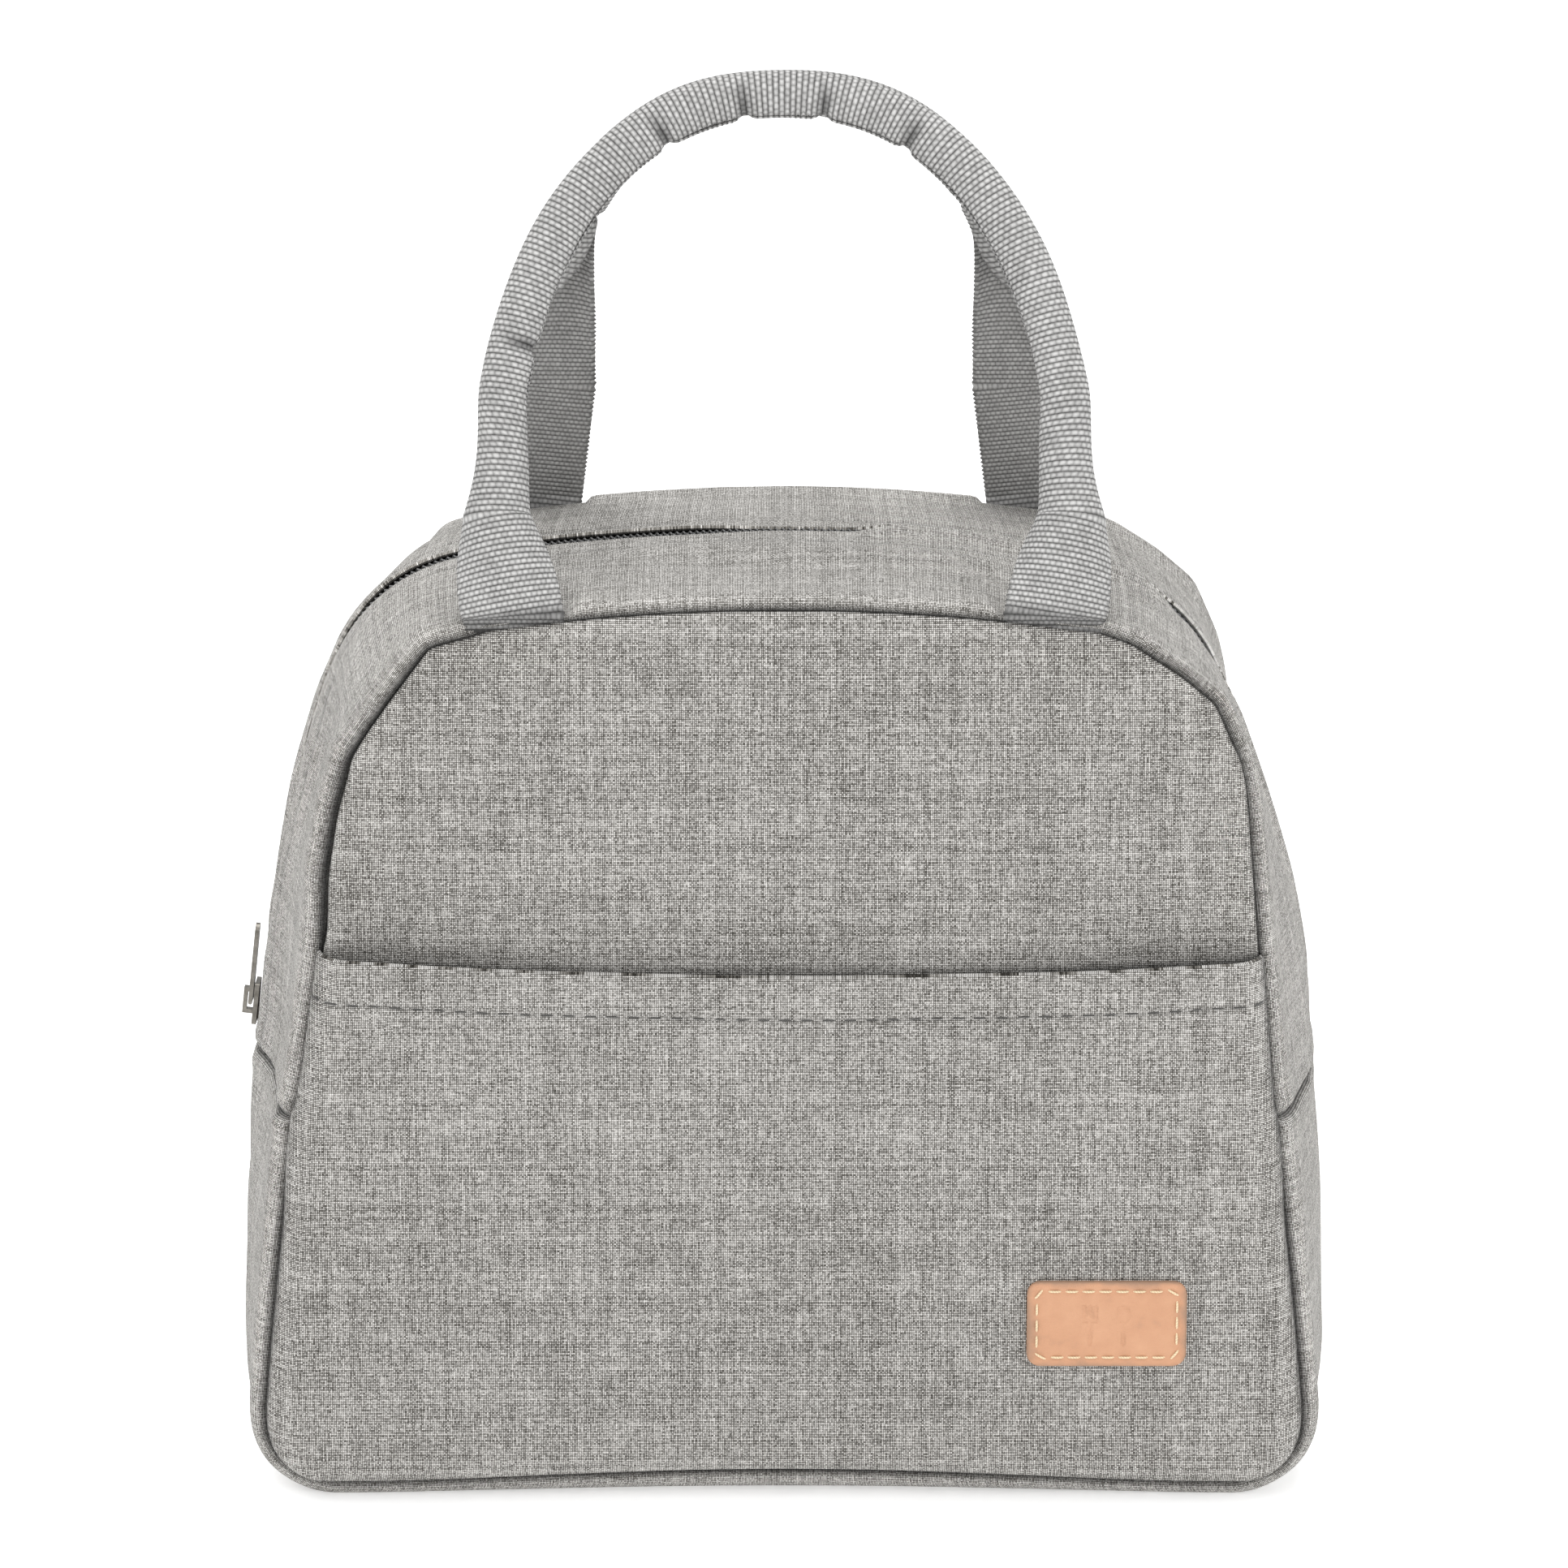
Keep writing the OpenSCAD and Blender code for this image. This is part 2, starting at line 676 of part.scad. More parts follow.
module handle_webbing(side) {
    color(WEBBING) on_foot(side) webbing(side > 0 ? BACK_SHAPE : FRONT_SHAPE);
}
module handle_core(side) {
    color(FOAM) on_foot(side) core(side > 0 ? BACK_SHAPE : FRONT_SHAPE);
}

// Moves the case from the place where it is drawn to its place over the origin
module place() {
    translate([0, zip_plane_y, case_rise]) children();
}

place() base_gusset();
place() base_foam();
place() base_lining();
place() panel_lower(front);  // front_panel_lower
place() foam_lower(front);  // front_foam_lower
place() lining_lower(front);  // front_lining_lower
place() panel_lower(back);  // back_panel_lower
place() foam_lower(back);  // back_foam_lower
place() lining_lower(back);  // back_lining_lower
place() front_pocket();
place() pocket_stitching();
place() leather_patch();
place() patch_stitching();
place() zip_band_ends();
place() zip_end_foam();
place() zip_end_lining();
place() zip_tape_ends();
place() zip_coil_ends();
place() zip_stops();
place() seam_binding_base();
place() panel_upper(front);  // front_panel_upper
place() foam_upper(front);  // front_foam_upper
place() lining_upper(front);  // front_lining_upper
place() zip_band(front);  // front_zip_band
place() band_foam(front);  // front_band_foam
place() band_lining(front);  // front_band_lining
place() zip_tape(front);  // front_zip_tape
place() zip_coil(front);  // front_zip_coil
place() seam_binding(front);  // front_seam_binding
place() panel_upper(back);  // back_panel_upper
place() foam_upper(back);  // back_foam_upper
place() lining_upper(back);  // back_lining_upper
place() zip_band(back);  // back_zip_band
place() band_foam(back);  // back_band_foam
place() band_lining(back);  // back_band_lining
place() zip_tape(back);  // back_zip_tape
place() zip_coil(back);  // back_zip_coil
place() seam_binding(back);  // back_seam_binding
place() slider_body();
place() pull_tab();
place() handle_webbing(front);  // front_handle_webbing
place() handle_core(front);  // front_handle_core
place() handle_webbing(back);  // back_handle_webbing
place() handle_core(back);  // back_handle_core
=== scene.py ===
"""Looks of the insulated lunch bag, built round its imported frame.

Lengths are in millimetres about the zip's plane and a level near the foot until a mesh is made,
which moves them into the frame and turns them into metres. X runs across the front, Y from front
to back, Z is up.
"""
import math

import bmesh
import bpy
import numpy as np
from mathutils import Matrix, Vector


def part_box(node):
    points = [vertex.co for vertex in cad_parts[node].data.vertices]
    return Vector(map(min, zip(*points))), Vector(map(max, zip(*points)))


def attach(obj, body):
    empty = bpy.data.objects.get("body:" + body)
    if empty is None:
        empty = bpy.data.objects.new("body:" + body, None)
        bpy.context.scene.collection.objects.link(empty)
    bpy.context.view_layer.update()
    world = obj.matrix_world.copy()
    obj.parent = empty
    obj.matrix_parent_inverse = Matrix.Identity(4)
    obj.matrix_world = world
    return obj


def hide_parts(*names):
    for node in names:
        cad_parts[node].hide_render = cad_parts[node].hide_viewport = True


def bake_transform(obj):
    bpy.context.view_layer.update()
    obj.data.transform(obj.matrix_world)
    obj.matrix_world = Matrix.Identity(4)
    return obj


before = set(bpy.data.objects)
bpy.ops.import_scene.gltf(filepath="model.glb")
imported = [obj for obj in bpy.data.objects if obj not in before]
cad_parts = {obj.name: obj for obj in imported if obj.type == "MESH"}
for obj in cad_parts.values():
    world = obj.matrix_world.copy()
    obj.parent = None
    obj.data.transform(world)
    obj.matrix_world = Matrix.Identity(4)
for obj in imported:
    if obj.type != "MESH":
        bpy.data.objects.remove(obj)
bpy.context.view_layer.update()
MM = 0.001
LIFT = 5.5                # height of the level that the case is drawn about


def node_span(node, axis):
    """Lowest and highest value of a CAD node along one axis, in millimetres as drawn."""
    drop = LIFT if axis == 2 else 0
    lo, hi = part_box(node)
    return lo[axis] / MM - drop, hi[axis] / MM - drop


# ---- Sizes, from the frame ----
FOLD_GAP = 0.2
gusset_front, gusset_back = node_span("base_gusset", 1)
ZIP_Y = (gusset_front + gusset_back) / 2
SEAM_Y = (gusset_back - gusset_front) / 2
BAND_SEAM_Z = node_span("base_gusset", 2)[1] + FOLD_GAP
FOLD_Z = node_span("front_panel_lower", 2)[1] + FOLD_GAP
TOP_Z = node_span("front_zip_band", 2)[1]
POCKET_TOP = node_span("front_pocket", 2)[1]
patch_left, patch_right = node_span("leather_patch", 0)
patch_low, patch_high = node_span("leather_patch", 2)
PATCH_MID = np.array([(patch_left + patch_right) / 2, (patch_low + patch_high) / 2])
PATCH_HALF = np.array([patch_right - patch_left, patch_high - patch_low]) / 2
PATCH_BACK_Y, PATCH_FRONT_Y = [-(y - ZIP_Y) for y in node_span("leather_patch", 1)[::-1]]

# ---- Sizes that the frame's design gives as arcs ----
MID_ARC = (-329.8, 54.0, 470.0)
MID_LOW_R = 840.0
SEAM_ARC = (-1504.4, -62.0, 1636.4)
BASE_Z = (3.5 - LIFT, -LIFT)
BASE_RUN = (113.0, 120.0)
CORNER_RISE = (20.0, 24.0)
SHOULDER_Z = 186.0
SHOULDER_PULL = (18.0, 25.0)
TOP_HALF_RUN = (76.0, 78.0)
TOP_ARC_RISE = 5.5
CROWN_RISE = 5.0
BASE_FLAT = 48.0
SHELL_T = 5.3             # outer fabric and foam together
FABRIC_T = 1.2
LINING_IN, LINING_OUT = 5.4, 6.0
ZIP_FOAM_Y = 13.0
TAPE_EDGE, TAPE_REACH, TAPE_IN, TAPE_T = 1.3, 12.0, 1.35, 0.5

SIDES = {"front": -1, "back": 1}
STEPS = (54, 30, 40, 26, 26, 44, 46)
CORNER_I = STEPS[0] + STEPS[1]
BAND_I = CORNER_I + STEPS[2]
TOP_I = sum(STEPS)


# ---- Small tools ----
def mix(a, b, f):
    return a + (b - a) * f


def smooth(f):
    f = np.clip(f, 0, 1)
    return f * f * (3 - 2 * f)


def hump(x, lo, hi, soft):
    """1 between lo and hi, falling to 0 within soft on both sides."""
    return smooth((x - lo + soft) / soft) * smooth((hi + soft - x) / soft)


def ripple(a, b, size, seed, waves=9):
    """Smooth, seeded waves over two coordinates, about -1 to 1, of roughly the size given."""
    rng = np.random.default_rng(seed)
    total = 0
    for _ in range(waves):
        turn, phase = rng.uniform(0, 2 * math.pi, 2)
        k = 2 * math.pi / (size * rng.uniform(0.7, 1.7))
        total = total + np.sin(k * (a * math.cos(turn) + b * math.sin(turn)) + phase)
    return total / math.sqrt(waves)


def crease(x, z, a, b, width):
    """1 along the line from a to b, fading off over width and towards both ends."""
    a, b = np.array(a, float), np.array(b, float)
    d = b - a
    t = ((x - a[0]) * d[0] + (z - a[1]) * d[1]) / (d @ d)
    off = ((x - a[0]) * d[1] - (z - a[1]) * d[0]) / np.linalg.norm(d)
    return np.exp(-(off / width) ** 2) * smooth(4 * t) * smooth(4 * (1 - t))


def with_creases(relief, u, v, creases):
    """The relief with folds added, each a height, its two ends and a width."""
    for height, a, b, width in creases:
        relief = relief + height * crease(u, v, a, b, width)
    return relief


# ---- The case's outline: k is 0 for the seam outline and 1 for the middle outline ----
def arc_x(arc, z):
    return arc[0] + np.sqrt(arc[2] ** 2 - (z - arc[1]) ** 2)


def arc_up(arc, z):
    return np.array([-(z - arc[1]), arc_x(arc, z) - arc[0]]) / arc[2]


def arc_below(arc, z, r):
    p = np.array([arc_x(arc, z), z])
    centre = p - (p - np.array(arc[:2])) / arc[2] * r
    return centre[0], centre[1], r


MID_LOW_ARC = arc_below(MID_ARC, BAND_SEAM_Z, MID_LOW_R)


def side_arc(k, z):
    if k == 0:
        return SEAM_ARC
    return MID_LOW_ARC if z < BAND_SEAM_Z else MID_ARC


def bezier(a, b, c, d, f):
    g = 1 - f
    return g**3 * a + 3 * g * g * f * b + 3 * g * f * f * c + f**3 * d


def top_point(k, x):
    return np.array([x, TOP_Z - CROWN_RISE * (1 - k) - TOP_ARC_RISE * (x / TOP_HALF_RUN[k]) ** 2])


def corner_point(k, f):
    hold = 0.55 if k else 0.68
    a = np.array([BASE_RUN[k], BASE_Z[k]])
    z = CORNER_RISE[k]
    b = np.array([arc_x(side_arc(k, z), z), z])
    up = arc_up(side_arc(k, z), z)
    return bezier(a, np.array([mix(a[0], b[0], hold), a[1]]), b - up * (b[1] - a[1]) * hold, b, f)


def shoulder_point(k, f):
    arc = side_arc(k, SHOULDER_Z)
    a = np.array([arc_x(arc, SHOULDER_Z), SHOULDER_Z])
    d = top_point(k, TOP_HALF_RUN[k])
    slope = 2 * TOP_ARC_RISE / TOP_HALF_RUN[k]
    out = np.array([1, -slope]) / math.hypot(1, slope)
    return bezier(a, a + arc_up(arc, SHOULDER_Z) * SHOULDER_PULL[k], d + out * SHOULDER_PULL[k], d, f)


def stretch_point(k, s, f):
    levels = {2: (CORNER_RISE[k], BAND_SEAM_Z), 3: (BAND_SEAM_Z, FOLD_Z), 4: (FOLD_Z, SHOULDER_Z)}
    f = {2: 1 - (1 - f) ** 1.6, 3: f ** 1.6}.get(s, f)
    if s == 0:
        return np.array([BASE_RUN[k] * f, BASE_Z[k]])
    if s == 1:
        return corner_point(k, f)
    if s in levels:
        z = mix(*levels[s], f)
        return np.array([arc_x(side_arc(k, z), z), z])
    if s == 5:
        return shoulder_point(k, f)
    return top_point(k, TOP_HALF_RUN[k] * (1 - f))


def half_outline(k):
    points = [stretch_point(k, s, j / n) for s, n in enumerate(STEPS) for j in range(n)]
    return np.array(points + [top_point(k, 0)])


# Where the sewn seam is pulled off its smooth curve, as points on the right and the left side
SEAM_PULLS = {
    1: [(123.6, 98.9), (119.8, 140.5), (118.0, 161.0), (116.0, 183.0), (114.2, 190.8), (108.1, 204.8),
        (98.9, 212.5), (86.8, 220.3), (76, 224.0)],
    -1: [(123.3, 98.9), (120.7, 113.4), (116.8, 140.5), (115.9, 161.0), (113.3, 176.7), (109.3, 190.8),
         (98.4, 206.3), (88.5, 219.5), (75.7, 222.8)],
}
BASE_ARCH = 3.4           # how far the base seam lifts off the floor at its middle
CORNER_SWELL = 3.5        # how far the seam's bottom corners stand out
# How far the right shoulder sags inwards at the middle of the band, along the stretches of the outline
SAG = np.array([(3.9, 0), (4.3, 1.5), (4.7, 3.0), (5.1, 4.6), (5.5, 5.4), (5.8, 5.2), (6.05, 3.6),
                (6.3, 1.2), (6.55, 0)])


def pulled(points, anchors):
    """The outline with one run of it drawn straight through the anchors."""
    anchors = np.array(anchors, float)
    ends = [int(np.argmin(np.hypot(*(points - a).T))) for a in (anchors[0], anchors[-1])]
    run = points[ends[0]:ends[1] + 1]
    along = np.r_[0, np.cumsum(np.hypot(*np.diff(run, axis=0).T))]
    reach = np.r_[0, np.cumsum(np.hypot(*np.diff(anchors, axis=0).T))]
    share = along / along[-1] * reach[-1]
    points = points.copy()
    points[ends[0]:ends[1] + 1] = np.stack([np.interp(share, reach, anchors[:, j]) for j in (0, 1)], 1)
    kernel = np.array([1, 3, 4, 3, 1]) / 12
    soft = np.stack([np.convolve(np.pad(points[:, j], 2, "edge"), kernel, "valid") for j in (0, 1)], 1)
    near = slice(max(ends[0] - 4, 0), min(ends[1] + 5, len(points)))
    points[near] = soft[near]
    return points


def seam_outline(sign):
    points = half_outline(0)
    f = np.clip(points[:, 0] / BASE_RUN[0], 0, 1)
    points[:, 1] += np.where(np.arange(len(points)) <= STEPS[0], BASE_ARCH * (1 - f * f) ** 2, 0)
    swell = np.clip((BAND_SEAM_Z - points[:, 1]) / (BAND_SEAM_Z - 18), 0, 1) * smooth((STRETCH - 1) / 0.8)
    points[:, 0] += CORNER_SWELL * swell
    return pulled(points, SEAM_PULLS[sign])


def normals(points):
    tangent = np.gradient(points, axis=0)
    tangent[0], tangent[-1] = (1, 0), (-1, 0)
    tangent /= np.linalg.norm(tangent, axis=1)[:, None]
    return np.stack([tangent[:, 1], -tangent[:, 0]], 1)


STRETCH = np.array([s + j / n for s, n in enumerate(STEPS) for j in range(n)] + [len(STEPS)])
MIDDLE = half_outline(1)
sag = np.interp(STRETCH, SAG[:, 0], SAG[:, 1])
sag = np.convolve(np.pad(sag, 6, "edge"), np.full(13, 1 / 13), "valid")
MIDDLES = {-1: MIDDLE, 1: MIDDLE - normals(MIDDLE) * sag[:, None]}
MIDDLE_NORMALS = {sign: normals(MIDDLES[sign]) for sign in (1, -1)}
SEAMS = {sign: seam_outline(sign) for sign in (1, -1)}
SEAM_NORMALS = {sign: normals(SEAMS[sign]) for sign in (1, -1)}
MIDDLE_LENGTH = np.r_[0, np.cumsum(np.hypot(*np.diff(MIDDLE, axis=0).T))]


def flat_reach(n):
    return BASE_FLAT * (1 - smooth(STRETCH[n] - 1))


def slack(n, left, y):
    """How far the band of the left side sags inwards, in its front half above the base band."""
    z = MIDDLE[n, 1]
    high = smooth((z - 62) / 32) * smooth((212 - z) / 26)
    return 3.6 * high * smooth((SEAM_Y - 1.5 + y) / 34) * smooth((-6.0 - y) / 18) * left


def band_point(i, y, out):
    """Points on the side band at signed indices i and at y, standing out from it. All broadcast."""
    i, y, out = np.broadcast_arrays(i, y, out)
    n, left = np.abs(i), (i < 0)[..., None]
    flat = flat_reach(n)
    w = np.clip((np.abs(y) - flat) / (SEAM_Y - flat), 0, 1)
    c = (1 - w * w)[..., None]
    p = mix(np.where(left, SEAMS[-1][n], SEAMS[1][n]), np.where(left, MIDDLES[-1][n], MIDDLES[1][n]), c)
    v = mix(np.where(left, SEAM_NORMALS[-1][n], SEAM_NORMALS[1][n]),
            np.where(left, MIDDLE_NORMALS[-1][n], MIDDLE_NORMALS[1][n]), c)
    out = out - slack(n, i < 0, y)
    q = p + v / np.linalg.norm(v, axis=-1, keepdims=True) * out[..., None]
    x = np.where(i < 0, -q[..., 0], q[..., 0])
    return np.stack([x, y, np.maximum(q[..., 1], 0.02 - LIFT)], -1)


def seam_loop():
    """The whole seam outline as a loop, with its outward normals."""
    left, left_n = SEAMS[-1][1:-1][::-1] * [-1, 1], SEAM_NORMALS[-1][1:-1][::-1] * [-1, 1]
    return np.vstack([SEAMS[1], left]), np.vstack([SEAM_NORMALS[1], left_n])


# ---- Meshes ----
def new_piece(name, points, faces, uv, materials, indices=None, sharp=50, shade=None):
    """A mesh object in the frame from points as drawn, with its UV in metres.

    Shade is painted shade, kept as a point attribute: 1 on open cloth, falling towards 0 down in a seam or a
    fold, where the cloth materials darken their colour by it.
    """
    mesh = bpy.data.meshes.new(name)
    mesh.from_pydata(((points + [0, ZIP_Y, LIFT]) * MM).tolist(), [], [list(map(int, f)) for f in faces])
    if indices is not None:
        mesh.polygons.foreach_set("material_index", np.asarray(indices, np.int32))
    layer = mesh.uv_layers.new(name="UVMap")
    loops = np.zeros(len(mesh.loops), np.int32)
    mesh.loops.foreach_get("vertex_index", loops)
    layer.data.foreach_set("uv", (np.asarray(uv)[loops] * MM).astype(np.float32).ravel())
    # The shade attribute holds painted shade: the cloth materials darken their colour by it.
    depth = mesh.attributes.new("shade", "FLOAT", "POINT")
    tone = np.broadcast_to(1.0 if shade is None else shade, len(points))
    depth.data.foreach_set("value", tone.astype(np.float32))
    shell = bmesh.new()
    shell.from_mesh(mesh)
    bmesh.ops.recalc_face_normals(shell, faces=shell.faces)
    shell.to_mesh(mesh)
    shell.free()
    mesh.polygons.foreach_set("use_smooth", np.ones(len(mesh.polygons), bool))
    mesh.set_sharp_from_angle(angle=math.radians(sharp))
    for material in materials if isinstance(materials, (list, tuple)) else [materials]:
        mesh.materials.append(material)
    obj = bpy.data.objects.new(name, mesh)
    bpy.context.scene.collection.objects.link(obj)
    return obj


def grid_faces(rows, cols, at=0, wrap=False):
    i, j = np.meshgrid(np.arange(rows - 1), np.arange(cols if wrap else cols - 1), indexing="ij")
    j2 = (j + 1) % cols
    corners = [i * cols + j, i * cols + j2, (i + 1) * cols + j2, (i + 1) * cols + j]
    return (at + np.stack(corners, -1)).reshape(-1, 4)


def strip_faces(a, b):
    """Faces between two closed loops of point numbers."""
    return np.stack([a, np.roll(a, -1), np.roll(b, -1), b], 1)


def rim(rows, cols):
    """Point numbers round the edge of a grid, and of their neighbours one step inside."""
    n = np.arange(rows * cols).reshape(rows, cols)
    edge = np.r_[n[0, :-1], n[:-1, -1], n[-1, :0:-1], n[:0:-1, 0]]
    inside = n[np.clip(edge // cols, 1, rows - 2), np.clip(edge % cols, 1, cols - 2)]
    return edge, inside


def closed_sheet(name, outer, inner, uv, materials, push=0.6, sharp=50, shade=None):
    """A closed sheet between two grids, with a rounded rim that stands out by push at most."""
    rows, cols = outer.shape[:2]
    a, b = outer.reshape(-1, 3), inner.reshape(-1, 3)
    edge, inside = rim(rows, cols)
    away = (a[edge] + b[edge] - a[inside] - b[inside]) / 2
    away /= np.maximum(np.linalg.norm(away, axis=1), 1e-6)[:, None]
    thick = np.linalg.norm(a[edge] - b[edge], axis=1)
    middle = (a[edge] + b[edge]) / 2 + away * np.minimum(thick / 2, push)[:, None]
    n = len(a)
    m = 2 * n + np.arange(len(edge))
    faces = np.vstack([grid_faces(rows, cols), grid_faces(rows, cols, n),
                       strip_faces(edge, m), strip_faces(m, edge + n)])
    flat_uv = uv.reshape(-1, 2)
    cells = (rows - 1) * (cols - 1)
    kinds = np.r_[np.zeros(cells), np.ones(cells), np.zeros(2 * len(edge))]
    several = isinstance(materials, (list, tuple)) and len(materials) > 1
    tone = np.ones(n) if shade is None else np.broadcast_to(shade, (rows, cols)).ravel()
    return new_piece(name, np.vstack([a, b, middle]), faces, np.vstack([flat_uv, flat_uv, flat_uv[edge]]),
                     materials, kinds if several else None, sharp, np.r_[tone, tone, tone[edge]])


def ring_solid(name, rows, materials, sharp=50, shade=None):
    """A closed solid from loops of points that starts and ends in a pole, with a flat UV from X and Z."""
    count, size = rows.shape[:2]
    points = np.vstack([rows.reshape(-1, 3), rows[0].mean(0), rows[-1].mean(0)])
    poles = count * size + np.arange(2)
    first, last = np.arange(size), (count - 1) * size + np.arange(size)
    faces = list(grid_faces(count, size, 0, True))
    faces += list(np.stack([first, np.roll(first, -1), np.full(size, poles[0])], 1))
    faces += list(np.stack([last, np.roll(last, -1), np.full(size, poles[1])], 1))
    tone = np.ones((count, size)) if shade is None else np.broadcast_to(shade, (count, size))
    tone = np.r_[tone.ravel(), 1, 1]
    return new_piece(name, points, faces, points[:, [0, 2]], materials, None, sharp, tone)


def sweep(name, paths, radii, reference, sides, materials):
    """Round tubes with closed ends along the paths. Each path has as many points as radii has values."""
    points, faces, uv, at = [], [], [], 0
    turn = np.linspace(0, 2 * math.pi, sides, endpoint=False)
    for path, up in zip(paths, reference):
        t = np.gradient(path, axis=0)
        t /= np.linalg.norm(t, axis=1)[:, None]
        side = np.cross(t, up)
        side /= np.linalg.norm(side, axis=1)[:, None]
        other = np.cross(side, t)
        r = np.broadcast_to(radii, len(path))[:, None, None]
        around = np.cos(turn)[:, None] * side[:, None] + np.sin(turn)[:, None] * other[:, None]
        ring = path[:, None] + r * around
        count = len(path)
        points += [ring.reshape(-1, 3), path[:1], path[-1:]]
        along = np.r_[0, np.cumsum(np.linalg.norm(np.diff(path, axis=0), axis=1))]
        uv.append(np.stack(np.broadcast_arrays(turn / 6, along[:, None]), -1).reshape(-1, 2))
        uv.append(np.zeros((2, 2)))
        faces += list(grid_faces(count, sides, at, True))
        ends = at + count * sides
        for start, pole in ((at, ends), (ends - sides, ends + 1)):
            loop = start + np.arange(sides)
            faces += list(np.stack([loop, np.roll(loop, -1), np.full(sides, pole)], 1))
        at = ends + 2
    return new_piece(name, np.vstack(points), faces, np.vstack(uv), materials)


# ---- Materials ----
POCKET_DIP = 4.0
MOUTH_HALF = 119.5
RIB = 1.45                # distance between the webbing's ribs


class Shader:
    """A principled material whose maps are built with short calls."""

    def __init__(self, name, color, rough, **sockets):
        self.material = bpy.data.materials.new(name)
        self.material.use_nodes = True
        self.tree = self.material.node_tree
        self.bsdf = self.tree.nodes["Principled BSDF"]
        self.bsdf.inputs["Base Color"].default_value = (*color, 1)
        self.bsdf.inputs["Roughness"].default_value = rough
        for key, value in sockets.items():
            self.bsdf.inputs[key.replace("_", " ")].default_value = value

    def node(self, kind, inputs=None, **props):
        made = self.tree.nodes.new("ShaderNode" + kind)
        for key, value in props.items():
            setattr(made, key, value)
        for key, value in (inputs or {}).items():
            self.put(made.inputs[key], value)
        return made

    def put(self, socket, value):
        if isinstance(value, bpy.types.NodeSocket):
            self.tree.links.new(value, socket)
        else:
            socket.default_value = value

    def math(self, what, *values, clamp=False):
        made = self.node("Math", operation=what, use_clamp=clamp)
        for j, value in enumerate(values):
            self.put(made.inputs[j], value)
        return made.outputs[0]

    def add(self, a, b, clamp=False):
        return self.math("ADD", a, b, clamp=clamp)

    def sub(self, a, b, clamp=False):
        return self.math("SUBTRACT", a, b, clamp=clamp)

    def mul(self, a, b):
        return self.math("MULTIPLY", a, b)

    def blend(self, a, b, share):
        """Linear mix of two numbers."""
        return self.add(self.mul(self.sub(b, a), share), a)

    def uv(self):
        split = self.node("SeparateXYZ", {0: self.node("UVMap", uv_map="UVMap").outputs[0]})
        return split.outputs[0], split.outputs[1]

    def place(self, a, b, c=0.0):
        return self.node("CombineXYZ", {0: a, 1: b, 2: c}).outputs[0]

    def noise(self, vector, scale, detail=2.0, rough=0.5):
        made = self.node("TexNoise", {"Vector": vector, "Scale": scale, "Detail": detail, "Roughness": rough})
        return made.outputs["Fac"]

    def chance(self, vector):
        return self.node("TexWhiteNoise", {"Vector": vector}, noise_dimensions="3D").outputs["Value"]

    def ramp(self, value, *stops):
        made = self.node("ValToRGB", {0: value})
        band = made.color_ramp.elements
        while len(band) < len(stops):
            band.new(0.5)
        for element, (at, color) in zip(band, stops):
            element.position, element.color = at, (*color, 1)
        return made.outputs[0]

    def color(self, value):
        self.put(self.bsdf.inputs["Base Color"], value)

    def paint_shade(self, value, low, tone=1.0):
        """The colour with painted shade: darkened by the shade attribute where the cloth goes down into a
        seam or a fold, and scaled by tone.
        """
        shade = self.node("Attribute", attribute_name="shade").outputs["Fac"]
        share = self.mul(self.blend(low, 1.0, shade), tone)
        self.color(self.node("VectorMath", {0: value, "Scale": share}, operation="SCALE").outputs[0])

    def rough(self, value, low, high):
        value = self.add(self.mul(value, high - low), low)
        self.put(self.bsdf.inputs["Roughness"], value)

    def bump(self, height, depth_mm, strength=1.0):
        made = self.node("Bump", {"Strength": strength, "Distance": depth_mm * MM, "Height": height})
        self.put(self.bsdf.inputs["Normal"], made.outputs[0])


def grey(value, warm=0.0):
    """A linear colour from an 8-bit grey, a little warmer or cooler."""
    levels = [value + 0.7 * warm, value, value - 1.2 * warm]
    return [((v / 255 + 0.055) / 1.055) ** 2.4 for v in levels]


